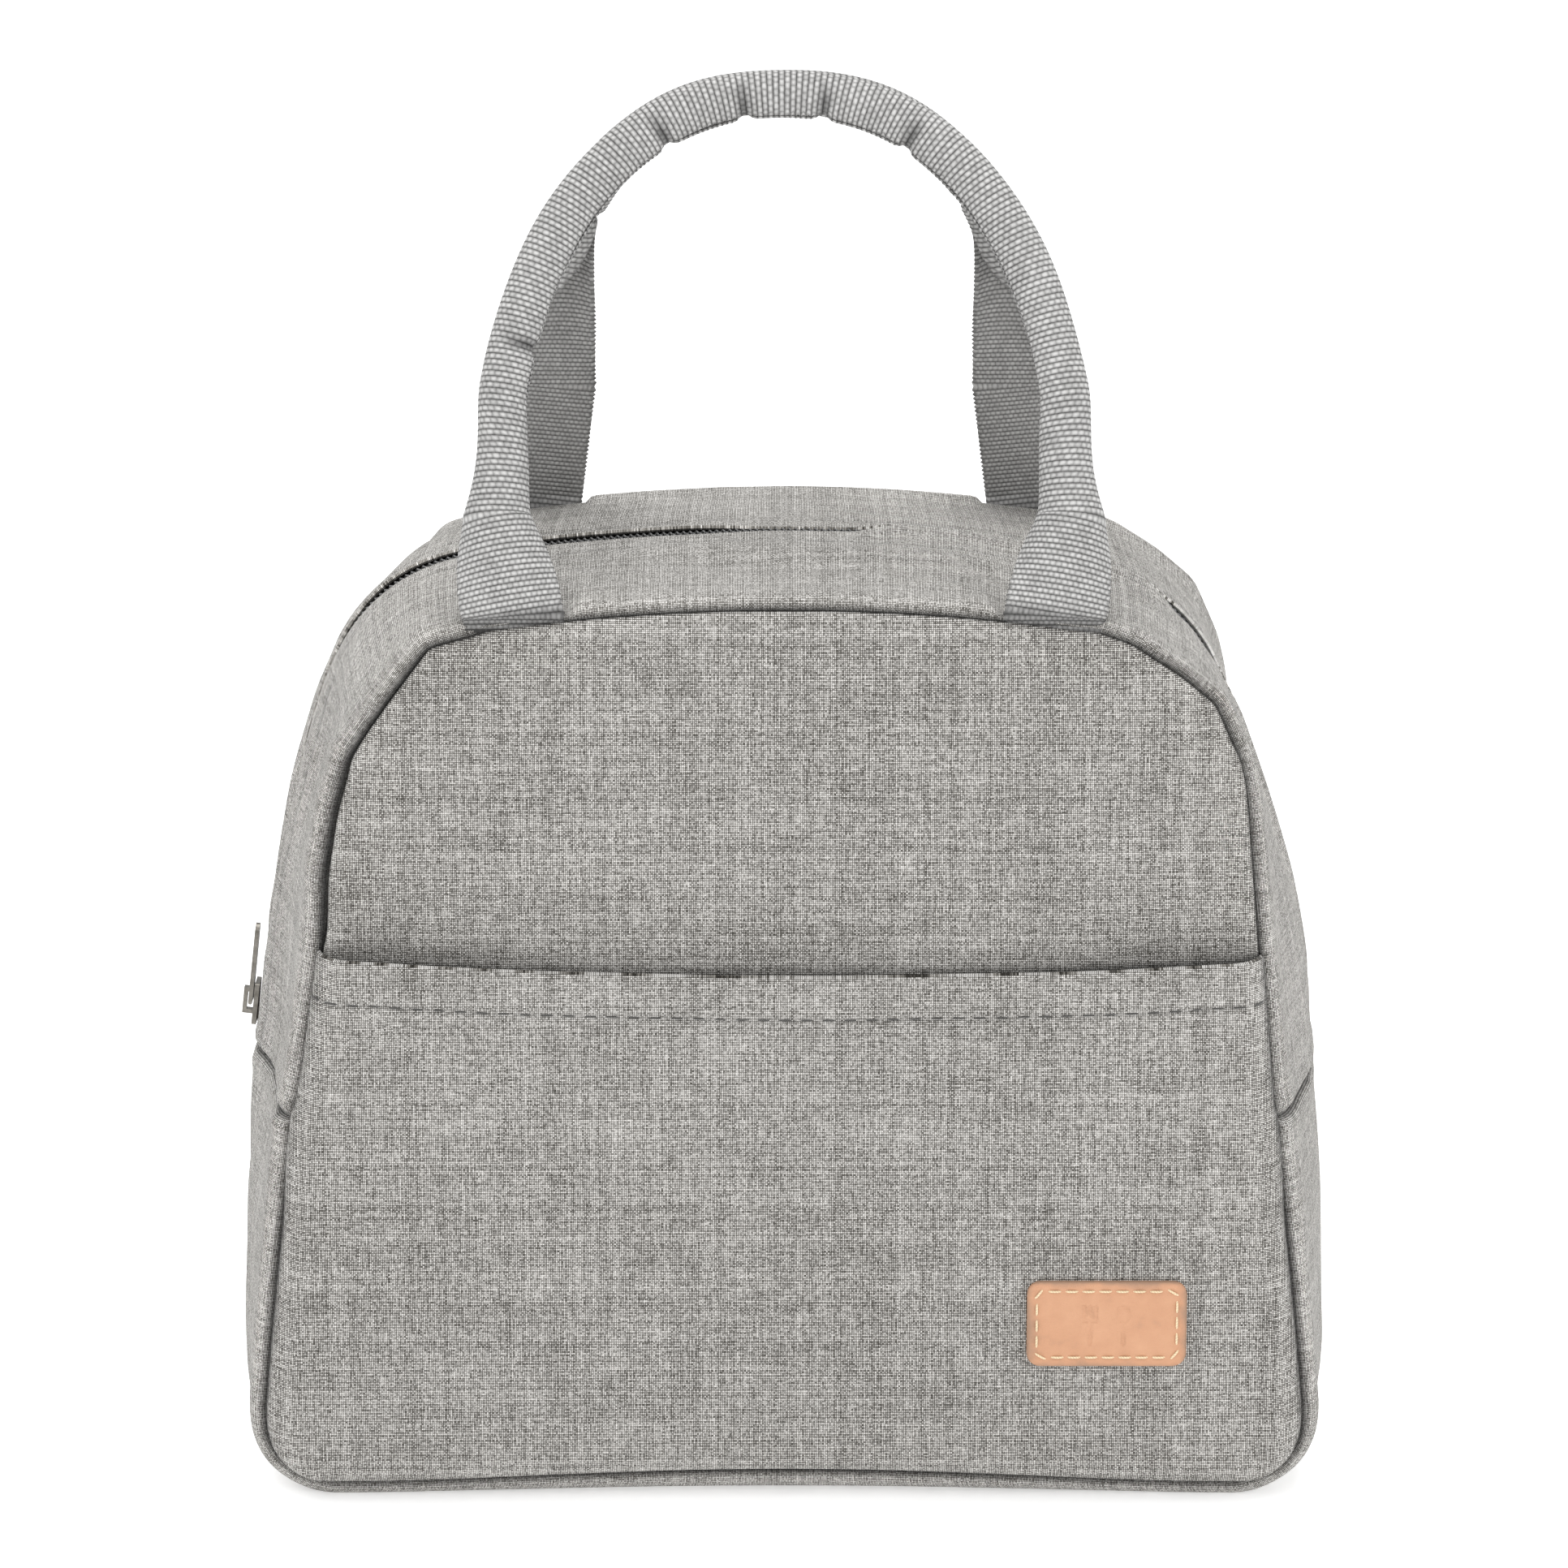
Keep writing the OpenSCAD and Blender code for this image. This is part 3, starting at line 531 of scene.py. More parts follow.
def weave(name, pitch_mm, dark, light, streak=1.0, mouth=False):
    """Heather plain weave: every thread has its own shade, which wanders along its length."""
    s = Shader(name, grey(155), 0.9, Sheen_Weight=0.1, Sheen_Roughness=0.5, Specular_IOR_Level=0.2)
    u, v = s.uv()
    per_m = 1 / (pitch_mm * MM)
    tu, tv = s.mul(u, per_m), s.mul(v, per_m)
    iu, iv = s.math("FLOOR", tu), s.math("FLOOR", tv)
    shades = []
    for across, along, seed in ((iu, v, 0.0), (iv, u, 40.0)):
        own = s.chance(s.place(across, seed))
        spot = s.place(s.mul(across, 7.31), s.mul(along, 150.0), seed)
        wander = s.noise(spot, 1.0, 3.0)
        parts = s.add(s.mul(own, 0.34 * streak), s.mul(wander, 1.1))
        shades.append(parts)
    parity = s.math("MODULO", s.add(s.add(iu, iv), 20000.0), 2.0)
    shade = s.blend(shades[0], shades[1], parity)
    fibre = s.chance(s.place(iu, iv, 3.0))
    cloud = s.noise(s.place(s.mul(u, 30.0), s.mul(v, 60.0)), 1.0, 2.0)
    fine = s.noise(s.place(u, v), 900.0, 2.0)
    rise = [s.math("SINE", s.mul(s.math("FRACT", t), math.pi)) for t in (tu, tv)]
    cell = s.mul(rise[0], rise[1])
    shade = s.add(shade, s.mul(fibre, 0.45))
    shade = s.add(shade, s.mul(cloud, 0.25))
    shade = s.add(shade, s.mul(fine, 0.35))
    shade = s.add(shade, s.mul(cell, 1.1))
    middle = 0.17 * streak + 0.55 + 0.225 + 0.125 + 0.175 + 0.44
    shade = s.add(s.mul(s.sub(shade, middle), 1.2), 0.5, clamp=True)
    tone = s.ramp(shade, (0.02, grey(dark - 24, 4)), (0.36, grey(mix(dark, light, 0.38), 5)),
                  (0.64, grey(mix(dark, light, 0.70), 5)), (0.98, grey(light + 30, 3)))
    # Painted shade: the colour darkens by the shade attribute in seams and folds, and where mouth is set, by
    # the painted shadow just above the pocket's mouth.
    s.paint_shade(tone, 0.16, mouth_shadow(s, u, v) if mouth else 1.0)
    s.bump(s.add(cell, s.mul(shade, 0.5)), pitch_mm * 0.45, 0.9)
    s.rough(shade, 0.95, 0.82)
    return s.material


def mouth_shadow(s, u, v):
    """Painted shadow: the panel's colour is darker just above the edge of the pocket's mouth."""
    share = s.math("DIVIDE", u, MOUTH_HALF * MM)
    bow = s.sub(1.0, s.mul(share, share))
    edge = s.sub(POCKET_TOP * MM, s.mul(bow, POCKET_DIP * MM))
    above = s.math("DIVIDE", s.sub(v, edge), 2.1 * MM)
    fade = s.sub(1.0, s.math("MAXIMUM", s.sub(above, 0.3), 0.0), clamp=True)
    return s.sub(1.0, s.mul(s.mul(fade, fade), 0.55))


def webbing(name, dark, light, dots=1.0):
    """Ribbed tape: light ribs across it with a dark gap between them, each rib a row of small beads."""
    s = Shader(name, grey(150), 0.85, Sheen_Weight=0.15, Sheen_Roughness=0.4, Specular_IOR_Level=0.25)
    u, v = s.uv()
    across, along = s.mul(u, 1 / (1.30 * MM)), s.mul(v, 1 / (RIB * MM))
    row = s.math("FLOOR", along)
    shift = s.mul(s.math("MODULO", s.add(row, 20000.0), 2.0), 0.5)
    cross = s.add(across, shift)
    rib = s.math("SINE", s.mul(s.math("FRACT", along), math.pi))
    crown = s.math("SINE", s.mul(s.math("FRACT", cross), math.pi))
    bead = s.mul(s.math("POWER", rib, 0.8), s.add(s.mul(crown, 0.5), 0.5))
    own = s.chance(s.place(s.math("FLOOR", cross), row))
    fuzz = s.noise(s.place(u, v), 1400.0, 3.0)
    patches = s.noise(s.place(s.mul(u, 90.0), s.mul(v, 30.0)), 1.0, 2.0)
    shade = s.mul(bead, s.add(s.mul(own, 0.3 * dots), 0.8 * dots))
    shade = s.add(shade, s.mul(s.sub(fuzz, 0.5), 0.6))
    shade = s.add(shade, s.mul(s.sub(patches, 0.5), 0.25), clamp=True)
    tone = s.ramp(shade, (0.0, grey(dark, 1)), (0.5, grey(mix(dark, light, 0.6), 1)), (1.0, grey(light, 1)))
    # Painted shade from the shade attribute, in the handle's creases and at its foot.
    s.paint_shade(tone, 0.2)
    s.bump(bead, 0.34 * dots, 1.0)
    s.rough(shade, 0.95, 0.75)
    return s.material


def leather():
    s = Shader("patch_leather", (0.72, 0.42, 0.26), 0.5, Specular_IOR_Level=0.4)
    u, v = s.uv()
    spot = s.place(u, v)
    cells = s.node("TexVoronoi", {"Vector": spot, "Scale": 1800.0}, feature="DISTANCE_TO_EDGE")
    grain = cells.outputs["Distance"]
    mottle = s.noise(spot, 260.0, 4.0)
    wash = s.noise(spot, 60.0, 2.0)
    off = [s.math("DIVIDE", s.math("ABSOLUTE", s.sub(w, PATCH_MID[j] * MM)), PATCH_HALF[j] * MM)
           for j, w in enumerate((u, v))]
    edge = s.math("MAXIMUM", off[0], off[1])
    worn = s.math("POWER", edge, 14.0, clamp=True)
    tone = s.add(s.mul(mottle, 0.5), s.mul(wash, 0.5))
    tone = s.sub(tone, s.mul(worn, 0.5), clamp=True)
    s.color(s.ramp(tone, (0.08, (0.33, 0.20, 0.13)), (0.42, (0.535, 0.282, 0.163)),
                   (0.7, (0.585, 0.322, 0.192))))
    s.bump(s.add(s.mul(grain, 3.0), mottle), 0.08, 0.6)
    s.rough(mottle, 0.42, 0.66)
    return s.material


def thread(name, color):
    """Two-ply thread: a twist along its length."""
    s = Shader(name, color, 0.6, Sheen_Weight=0.2)
    u, v = s.uv()
    ply = s.math("SINE", s.add(s.mul(u, 9000.0), s.mul(v, 9000.0)))
    fuzz = s.noise(s.place(u, v), 3000.0)
    tone = s.add(s.mul(ply, 0.25), fuzz, clamp=True)
    s.color(s.ramp(tone, (0.15, [c * 0.72 for c in color]), (0.7, color)))
    s.bump(ply, 0.08, 0.7)
    return s.material


def lining():
    """Wipe-clean film with a faint woven backing and soft crumple."""
    s = Shader("lining_film", grey(222, -2), 0.32, Specular_IOR_Level=0.5, Coat_Weight=0.15)
    u, v = s.uv()
    crumple = s.noise(s.place(u, v), 60.0, 4.0, 0.6)
    waves = [s.math("SINE", s.mul(w, 5200.0)) for w in (u, v)]
    backing = s.mul(waves[0], waves[1])
    s.color(s.ramp(crumple, (0.2, grey(205, -3)), (0.8, grey(230, -2))))
    s.bump(s.add(crumple, s.mul(backing, 0.04)), 0.8, 0.5)
    s.rough(crumple, 0.25, 0.45)
    return s.material


def tape_cloth(name, value):
    s = Shader(name, grey(value), 0.8, Sheen_Weight=0.1)
    u, v = s.uv()
    twill = s.math("SINE", s.mul(s.add(u, v), 2 * math.pi / (0.5 * MM)))
    fuzz = s.noise(s.place(u, v), 1500.0, 2.0)
    tone = s.add(s.mul(twill, 0.25), fuzz, clamp=True)
    # Painted shade from the shade attribute, which is 1 on every tape piece.
    s.paint_shade(s.ramp(tone, (0.2, grey(value * 0.72)), (0.8, grey(value * 1.12))), 0.2)
    s.bump(twill, 0.08, 0.6)
    s.rough(fuzz, 0.7, 0.9)
    return s.material


def nylon():
    s = Shader("zip_nylon", grey(104), 0.42, Specular_IOR_Level=0.5)
    u, v = s.uv()
    streaks = s.noise(s.place(u, s.mul(v, 400.0)), 1.0, 2.0)
    s.color(s.ramp(streaks, (0.2, grey(84)), (0.8, grey(122))))
    s.rough(streaks, 0.3, 0.5)
    return s.material


def metal():
    """Satin die-cast metal, brushed by handling and a little dulled."""
    s = Shader("zip_alloy", grey(112, 4), 0.36, Metallic=1.0)
    spot = s.node("TexCoord").outputs["Object"]
    wear = s.noise(spot, 420.0, 5.0, 0.65)
    scratch = s.noise(s.node("Mapping", {"Vector": spot, "Scale": (3000, 3000, 160)}).outputs[0], 1.0, 3.0)
    s.color(s.ramp(wear, (0.25, grey(84, 5)), (0.65, grey(128, 5))))
    s.rough(s.add(s.mul(wear, 0.6), s.mul(scratch, 0.4)), 0.24, 0.5)
    s.bump(scratch, 0.03, 0.4)
    return s.material


def foam():
    s = Shader("handle_foam", grey(236, 2), 0.9)
    spot = s.node("TexCoord").outputs["Object"]
    cells = s.node("TexVoronoi", {"Vector": spot, "Scale": 1400.0}).outputs["Distance"]
    tint = s.noise(spot, 120.0, 3.0)
    s.color(s.ramp(tint, (0.2, grey(220, 3)), (0.8, grey(240, 2))))
    s.bump(cells, 0.25, 0.6)
    return s.material


SHELL = weave("shell_heather", 0.46, 68, 203)
# The front panel's copy of the shell cloth, carrying the painted shadow above the pocket's mouth.
SHELL_PAINTED_MOUTH_SHADOW = weave("shell_heather_panel_painted_shadow", 0.46, 70, 203, 1.0, True)
GUSSET = weave("gusset_heather", 0.42, 90, 210, 1.1)
WEBBING = webbing("handle_webbing", 76, 192)
REAR_WEBBING = webbing("rear_handle_webbing", 80, 186, 0.9)
WEBBING_BACK = webbing("webbing_underside", 88, 184, 0.9)
LEATHER = leather()
CREAM = thread("cream_thread", (0.86, 0.68, 0.44))
GREY_THREAD = thread("grey_thread", grey(66, 2))
LINING = lining()
ZIP_TAPE = tape_cloth("zip_tape_twill", 76)
BINDING = tape_cloth("binding_tape", 150)
NYLON = nylon()
METAL = metal()
FOAM = foam()


def fold_with(obj, side, slot, *nodes):
    """Bakes the piece's place into its mesh and hides the CAD nodes that it stands in for."""
    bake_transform(obj)
    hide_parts(*nodes)


def ride_with(obj, body, slot, *nodes):
    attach(obj, body)
    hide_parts(*nodes)


# ---- Front and back panels ----
# Section of the panel's edge: how far inside the seam line, and how far out from the seam's plane
EDGE = np.array([(2.6, -3.6), (1.9, -2.6), (1.35, -1.5), (1.25, -0.5), (1.6, 0.35), (2.4, 0.95),
                 (3.6, 1.35), (5.4, 1.65), (8.0, 1.9)])
PANEL_CENTRE = np.array([0.0, 118.0])
PUFF = 2.0


# Puckers of each panel: height, the two ends and the width
PANEL_CREASES = {
    -1: [(-3.0, (-113, 193), (-92, 185), 3.2), (1.2, (-112, 202), (-88, 196), 4.5),
         (-1.3, (-118, 148), (-92, 138), 5), (-0.9, (116, 200), (92, 188), 6),
         (-0.8, (84, 226), (76, 196), 6), (-0.8, (-90, 222), (-72, 200), 6),
         (-0.7, (118, 146), (84, 138), 6)],
    1: [(-0.9, (-114, 198), (-90, 184), 6), (-0.8, (114, 196), (90, 190), 6)],
}


def panel_relief(x, z, side):
    """Soft unevenness of the padded panel, and the puckers that its seam pulls into it."""
    relief = 0.32 * ripple(x, z, 55, 11 + side) + 0.10 * ripple(x, z, 14, 21 + side)
    return with_creases(relief, x, z, PANEL_CREASES[side])


def painted_seam_shade(out):
    """Painted shade beside a seam: how light the cloth's colour is kept, from how far the cloth stands out.
    """
    return np.interp(out, (-3.2, -1.4, -0.5, 0.1, 0.6), (0.0, 0.10, 0.30, 0.78, 1.0))


def panel_rows(side):
    """Loops of the padded panel's solid, from its outer face's middle to its inner face's."""
    line, out = seam_loop()
    if side < 0:
        apart = hump(line[:, 1], 148, 186, 12) * (line[:, 0] < 0) + 0.3 * hump(line[:, 1], 196, 216, 8)
        line = line - out * 1.3 * apart[:, None]
    rows = []
    base = line - out * EDGE[-1, 0]
    for r in np.r_[0.02, np.linspace(0.06, 0.97, 34)]:
        p = PANEL_CENTRE + (base - PANEL_CENTRE) * r
        rise = SEAM_Y + EDGE[-1, 1] + PUFF * (1 - r**2.5)
        keep = smooth((1 - r) / 0.12)
        rows.append((p, rise + panel_relief(p[:, 0], p[:, 1], side) * keep))
    for inset, rise in EDGE[::-1]:
        rows.append((line - out * inset, SEAM_Y + rise + np.zeros(len(line))))
    inner = SEAM_Y + FABRIC_T - SHELL_T
    inner_line = line - out * SHELL_T
    for r in np.r_[1.0, np.linspace(0.96, 0.06, 16), 0.02]:
        p = PANEL_CENTRE + (inner_line - PANEL_CENTRE) * r
        rows.append((p, inner + 0.3 * (1 - r) + np.zeros(len(line))))
    return np.array([np.stack([p[:, 0], side * y, p[:, 1]], 1) for p, y in rows])


def make_panel(name):
    side = SIDES[name]
    rows = panel_rows(side)
    # Painted shade: the colour darkens down into the seam valley along the panel's edge, and its inner face
    # carries a flat painted shade.
    shade = np.ones(len(rows))
    shade[35:35 + len(EDGE)] = painted_seam_shade(EDGE[::-1, 1])
    shade[35 + len(EDGE):] = 0.4
    cloth = SHELL_PAINTED_MOUTH_SHADOW if side < 0 else SHELL
    obj = ring_solid(f"{name}_padded_panel", rows, cloth, 75, shade[:, None])
    layers = [f"{name}_{layer}_{part}" for layer in ("panel", "foam") for part in ("lower", "upper")]
    fold_with(obj, name, "shell", *layers)


def make_panel_lining(name):
    side = SIDES[name]
    line, out = seam_loop()
    edge = line - out * (SHELL_T + 0.4)
    faces = []
    inwards = np.r_[0.02, np.linspace(0.08, 1, 20)]
    outwards = np.r_[np.linspace(1, 0.08, 20), 0.02]
    for depth, shares in ((LINING_IN, inwards), (LINING_OUT, outwards)):
        for r in shares:
            p = PANEL_CENTRE + (edge - PANEL_CENTRE) * r
            wave = 0.5 * ripple(p[:, 0], p[:, 1], 60, 31 + side) * smooth((1 - r) / 0.15)
            y = SEAM_Y + FABRIC_T - depth - 0.55 * smooth((1 - r) / 0.1) - np.abs(wave)
            faces.append(np.stack([p[:, 0], side * y, p[:, 1]], 1))
    obj = ring_solid(f"{name}_lining", np.array(faces), LINING, 75)
    fold_with(obj, name, "lining", f"{name}_lining_lower", f"{name}_lining_upper")


# ---- Side band: a base band and two zip bands ----
# Section beside a seam: distance of y short of the seam's plane, and how far out the fabric stands
ROLL = np.array([(3.2, -3.4), (2.0, -2.4), (1.1, -1.2), (0.75, 0.0), (0.95, 1.0), (1.7, 1.75), (3.0, 2.15),
                 (4.8, 2.2), (7.0, 1.9), (10.0, 1.35), (14.0, 0.7), (19.0, 0.25), (25.0, 0.0)])
FOOT_X = 66.6
WEB_HALF = 11.7
SEAM_DIP = 1.7


# Folds of the fabric over the top, across and from front to back
TOP_CREASES = [(1.3, (-52, -16), (70, -30), 5), (-1.0, (-40, -27), (40, -40), 4.5),
               (0.9, (20, -14), (92, -44), 5), (-0.8, (50, -40), (96, -52), 4)]


def run_along(i):
    """Distance along the band from the middle of the base, unbroken where it crosses the top."""
    length = MIDDLE_LENGTH[np.abs(i)]
    if np.any(np.abs(i) == TOP_I):
        return np.where(i < 0, 2 * MIDDLE_LENGTH[-1] - length, length)
    return np.sign(i) * length


def band_relief(i, y, seed):
    """Soft unevenness of the side band, with the folds over its top and a fuller back half on the left."""
    n = np.abs(i)
    along = run_along(i)
    calm = n > STEPS[0]
    relief = (0.45 * ripple(along, y, 60, seed) + 0.14 * ripple(along, y, 16, seed + 1)) * calm
    x, z = np.sign(i) * MIDDLE[n, 0], MIDDLE[n, 1]
    top = n > BAND_I + STEPS[3] + STEPS[4]
    folds = with_creases(0.0, x, y, TOP_CREASES)
    full = 1.9 * smooth((z - 112) / 20) * smooth((222 - z) / 20)
    full = full * smooth((y - 4.5) / 5) * smooth((46 - y) / 34)
    return relief + folds * top + full * (i < 0) * (n > BAND_I)


def near_foot(i):
    """1 where a handle's foot is sewn in, along the top seams."""
    x = np.abs(MIDDLE[np.abs(i), 0])
    return hump(x, FOOT_X - WEB_HALF - 0.5, FOOT_X + WEB_HALF + 0.5, 2.5) * (np.abs(i) > BAND_I)


def from_band_seam(i):
    return np.abs(MIDDLE_LENGTH[np.abs(i)] - MIDDLE_LENGTH[BAND_I])


def seam_dip(i):
    """Fabric sinks towards the seam between the base band and the zip bands, and swells beside it."""
    away = from_band_seam(i)
    return 0.5 * np.exp(-((away - 3.2) / 2.2) ** 2) - SEAM_DIP * np.exp(-(away / 1.1) ** 2)


# Painted shade along the seam between the base band and the zip bands: the colour darkens at the seam line.
def painted_band_seam_shade(i):
    return 1 - 0.88 * np.exp(-(from_band_seam(i) / 1.1) ** 2)


def band_uv(i, y):
    return np.stack(np.broadcast_arrays(run_along(i), y), -1)


def roll_columns(sign):
    """Pairs of (y, out) from the seam inwards on one side."""
    return [(sign * (SEAM_Y - short), out) for short, out in ROLL]


def cloth_across(columns):
    """Distance over the cloth from the first column to each of the others."""
    return np.r_[0, np.cumsum(np.hypot(*np.diff(columns, axis=0).T))]


def make_base_band():
    i = np.arange(-BAND_I, BAND_I + 1)[:, None]
    front, back = roll_columns(-1), roll_columns(1)[::-1]
    inner_y = [(y, 0.0) for y in (-32, -24, -16, -8, 0, 8, 16, 24, 32)]
    columns = np.array(front + inner_y + back)
    y, out = columns[:, 0][None], columns[:, 1][None]
    across = cloth_across(columns)
    across = (across - across[-1] / 2)[None]
    # Painted shade in the seam valleys along both edges and at the seam to the base band's ends.
    shade = painted_seam_shade(np.where(np.abs(y) > SEAM_Y - 3.1, out, 9)) * painted_band_seam_shade(i)
    outer = band_point(i, y, out + band_relief(i, y, 41) * smooth((SEAM_Y - np.abs(y)) / 12) + seam_dip(i))
    inset = (SEAM_Y - SHELL_T) / SEAM_Y
    inner = band_point(i, y * np.where(np.abs(y) > 50, inset, 1), -SHELL_T + 0 * y)
    over_base = np.abs(inner[..., 0]) < BASE_RUN[1]
    inner[..., 2] = np.maximum(inner[..., 2], outer[..., 2].min() + SHELL_T * over_base)
    obj = closed_sheet("base_band", outer, inner, band_uv(i, across), GUSSET, 0.3, 75, shade)
    ride_with(obj, "bag_base", "shell", "base_gusset", "base_foam")


def zip_lips(i):
    """Half width of the slot between the zip bands, and how far the front and the back lip stand up."""
    x = np.sign(i) * MIDDLE[np.abs(i), 0]
    z = MIDDLE[np.abs(i), 1]
    over_top = (np.abs(i) > BAND_I + STEPS[3] + STEPS[4]) * 1.0
    side = np.abs(i) > BAND_I
    wide = hump(x, -96, -26, 26) * over_top
    lens = hump(x, 106, 113, 7) * over_top
    closed = hump(x, 30, 92, 14) * over_top
    right = hump(z, 122, 184, 14) * (x > 0) * side
    left = hump(z, 128, 214, 14) * (x < 0) * side
    gap = mix(mix(2.3 + 0.2 * lens, 0.9, right), 0.25, closed)
    front = 1.9 * closed + 1.2 * right - 0.5 * wide - 0.4 * lens
    back = 1.9 * closed + 1.2 * right + 0.8 * wide + 0.8 * lens + 0.3 * left
    return gap, front, back


def arch_indices():
    """Signed indices from the right end of the zip bands over the top to the left end."""
    return np.r_[np.arange(BAND_I, TOP_I + 1), -np.arange(TOP_I - 1, BAND_I - 1, -1)][:, None]


def zip_band_grid(side):
    i = arch_indices()
    gap, front, back = zip_lips(i)
    lip = front if side < 0 else back
    sewn = roll_columns(1)
    flat = [(y, 0.0) for y in (36, 31, 26, 21, 17, 14.5, 12.6, 10.5, 8.5, 6.8)]
    fixed = np.array(sewn + flat)
    near = np.linspace(5.2, 0, 7)[None]
    y = np.hstack([fixed[:, 0][None] + 0 * i, gap + near])
    out = np.hstack([fixed[:, 1][None] + 0 * i, lip * smooth(1 - near / 7)])
    foot = near_foot(i)
    out = np.where(out > 0.3, out * (1 - 0.85 * foot * (y > 50)), out)
    across = cloth_across(fixed)
    across = np.hstack([across[None] + 0 * i, across[-1] + fixed[-1, 0] - gap - near])
    relief = band_relief(i, side * y, 51 + side) * smooth((SEAM_Y - y) / 12) * smooth((y - gap) / 6)
    hem = -0.45 * np.exp(-((y - TAPE_REACH - 0.6) / 0.9) ** 2)
    # Painted shade in the seam valley, at the seam to the base band, and in the groove at the tape's hem.
    shade = painted_seam_shade(np.where(y > SEAM_Y - 3.1, out, 9)) * painted_band_seam_shade(i)
    shade = shade * (1 - 0.3 * np.exp(-((y - TAPE_REACH - 0.6) / 0.9) ** 2))
    return i, y, out + relief + seam_dip(i) + hem, lip, side * (80 - across), shade


def make_zip_band(name):
    side = SIDES[name]
    i, y, out, lip, across, shade = zip_band_grid(side)
    outer = band_point(i, side * y, out)
    depth = mix(FABRIC_T, SHELL_T, smooth((y - ZIP_FOAM_Y) / 1.5))
    scale = np.where(y > 50, (SEAM_Y - SHELL_T) / SEAM_Y, 1)
    rise = lip * smooth(1 - (y - zip_lips(i)[0]) / 7)
    inner = band_point(i, side * y * scale, rise - depth)
    obj = closed_sheet(f"{name}_zip_band_padded", outer, inner, band_uv(i, across), GUSSET, 0.6, 75, shade)
    fold_with(obj, name, "shell", "zip_band_ends", "zip_end_foam", f"{name}_zip_band", f"{name}_band_foam")


def thin_band(name, i, y, d0, d1, material, sink=0.0):
    """A thin sheet under the band. Sink is how much deeper than its depth it lies."""
    wave = 0.25 * np.abs(ripple(run_along(i), y, 50, 61)) if d1 > 4 else sink
    outer, inner = band_point(i, y, -d0 - wave), band_point(i, y, -d1 - wave)
    outer[..., 2] = np.maximum(outer[..., 2], d0 - LIFT)
    inner[..., 2] = np.maximum(inner[..., 2], d1 - LIFT)
    return closed_sheet(name, outer, inner, band_uv(i, y), material, 0.3, 60)


def make_band_linings():
    i = np.arange(-BAND_I, BAND_I + 1)[:, None]
    y = np.linspace(-SEAM_Y + SHELL_T + 0.3, SEAM_Y - SHELL_T - 0.3, 25)[None]
    obj = thin_band("base_lining_film", i, y, LINING_IN, LINING_OUT, LINING)
    ride_with(obj, "bag_base", "lining", "base_lining")
    for name, side in SIDES.items():
        i = arch_indices()
        y = side * np.linspace(SEAM_Y - SHELL_T - 0.3, ZIP_FOAM_Y - 1.5, 14)[None]
        obj = thin_band(f"{name}_band_lining_film", i, y, LINING_IN, LINING_OUT, LINING)
        fold_with(obj, name, "lining", "zip_end_lining", f"{name}_band_lining")


# ---- Zip ----
COIL_PITCH = 1.7
COIL_Y, COIL_REACH, COIL_DEPTH, COIL_TALL, WIRE_R = 1.15, 0.85, 0.72, 0.42, 0.24
COIL_LOW_Z = BAND_SEAM_Z + 4.2


def make_zip_tape(name):
    side = SIDES[name]
    i = arch_indices()
    y = side * np.r_[TAPE_EDGE, 2.2, 3.2, 5, 7, 9, TAPE_REACH - 0.6, TAPE_REACH][None]
    sink = np.maximum(0, -zip_lips(i)[1]) * smooth((10 - np.abs(y)) / 8)
    obj = thin_band(f"{name}_zip_tape_cloth", i, y, TAPE_IN, TAPE_IN + TAPE_T, ZIP_TAPE, sink)
    fold_with(obj, name, "zip", "zip_tape_ends", f"{name}_zip_tape")


def middle_line(step):
    """Even points along the middle of the band, from low left to low right, with normals."""
    i = np.r_[-np.arange(BAND_I, TOP_I), np.arange(TOP_I, BAND_I - 1, -1)]
    n, left = np.abs(i), (i < 0)[:, None]
    flip = np.stack([np.where(i < 0, -1, 1), np.ones(len(i))], 1)
    p = np.where(left, MIDDLES[-1][n], MIDDLES[1][n]) * flip
    v = np.where(left, MIDDLE_NORMALS[-1][n], MIDDLE_NORMALS[1][n]) * flip
    p = p - v * (0.5 * np.maximum(0, -zip_lips(i)[1]))[:, None]
    keep = p[:, 1] > COIL_LOW_Z
    p, v = p[keep], v[keep]
    along = np.r_[0, np.cumsum(np.hypot(*np.diff(p, axis=0).T))]
    at = np.arange(0, along[-1], step)
    p, v = (np.stack([np.interp(at, along, q[:, j]) for j in (0, 1)], 1) for q in (p, v))
    return at, p, v / np.linalg.norm(v, axis=1)[:, None]


def make_zip_coil(name):
    side = SIDES[name]
    at, p, v = middle_line(COIL_PITCH / 12)
    turn = 2 * math.pi * at / COIL_PITCH + (math.pi if side > 0 else 0)
    y = side * COIL_Y + COIL_REACH * np.cos(turn)
    out = -COIL_DEPTH + COIL_TALL * np.sin(turn)
    q = p + v * out[:, None]
    path = np.stack([q[:, 0], y, q[:, 1]], 1)
    lean = np.stack([v[:, 1], 0 * y, -v[:, 0]], 1)
    obj = sweep(f"{name}_zip_coil_wound", [path], WIRE_R, [lean], 6, NYLON)
    fold_with(obj, name, "zip", "zip_coil_ends", f"{name}_zip_coil")


def finish_metal():
    for node in ("slider_body", "pull_tab", "zip_stops"):
        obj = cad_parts[node]
        obj.data.materials.clear()
        obj.data.materials.append(METAL)
        edge = obj.modifiers.new("soft_edges", "BEVEL")
        edge.width, edge.segments, edge.limit_method = 0.18 * MM, 2, "ANGLE"


# ---- Seam binding inside ----
BINDING_W, BINDING_T = 8.0, 2.0


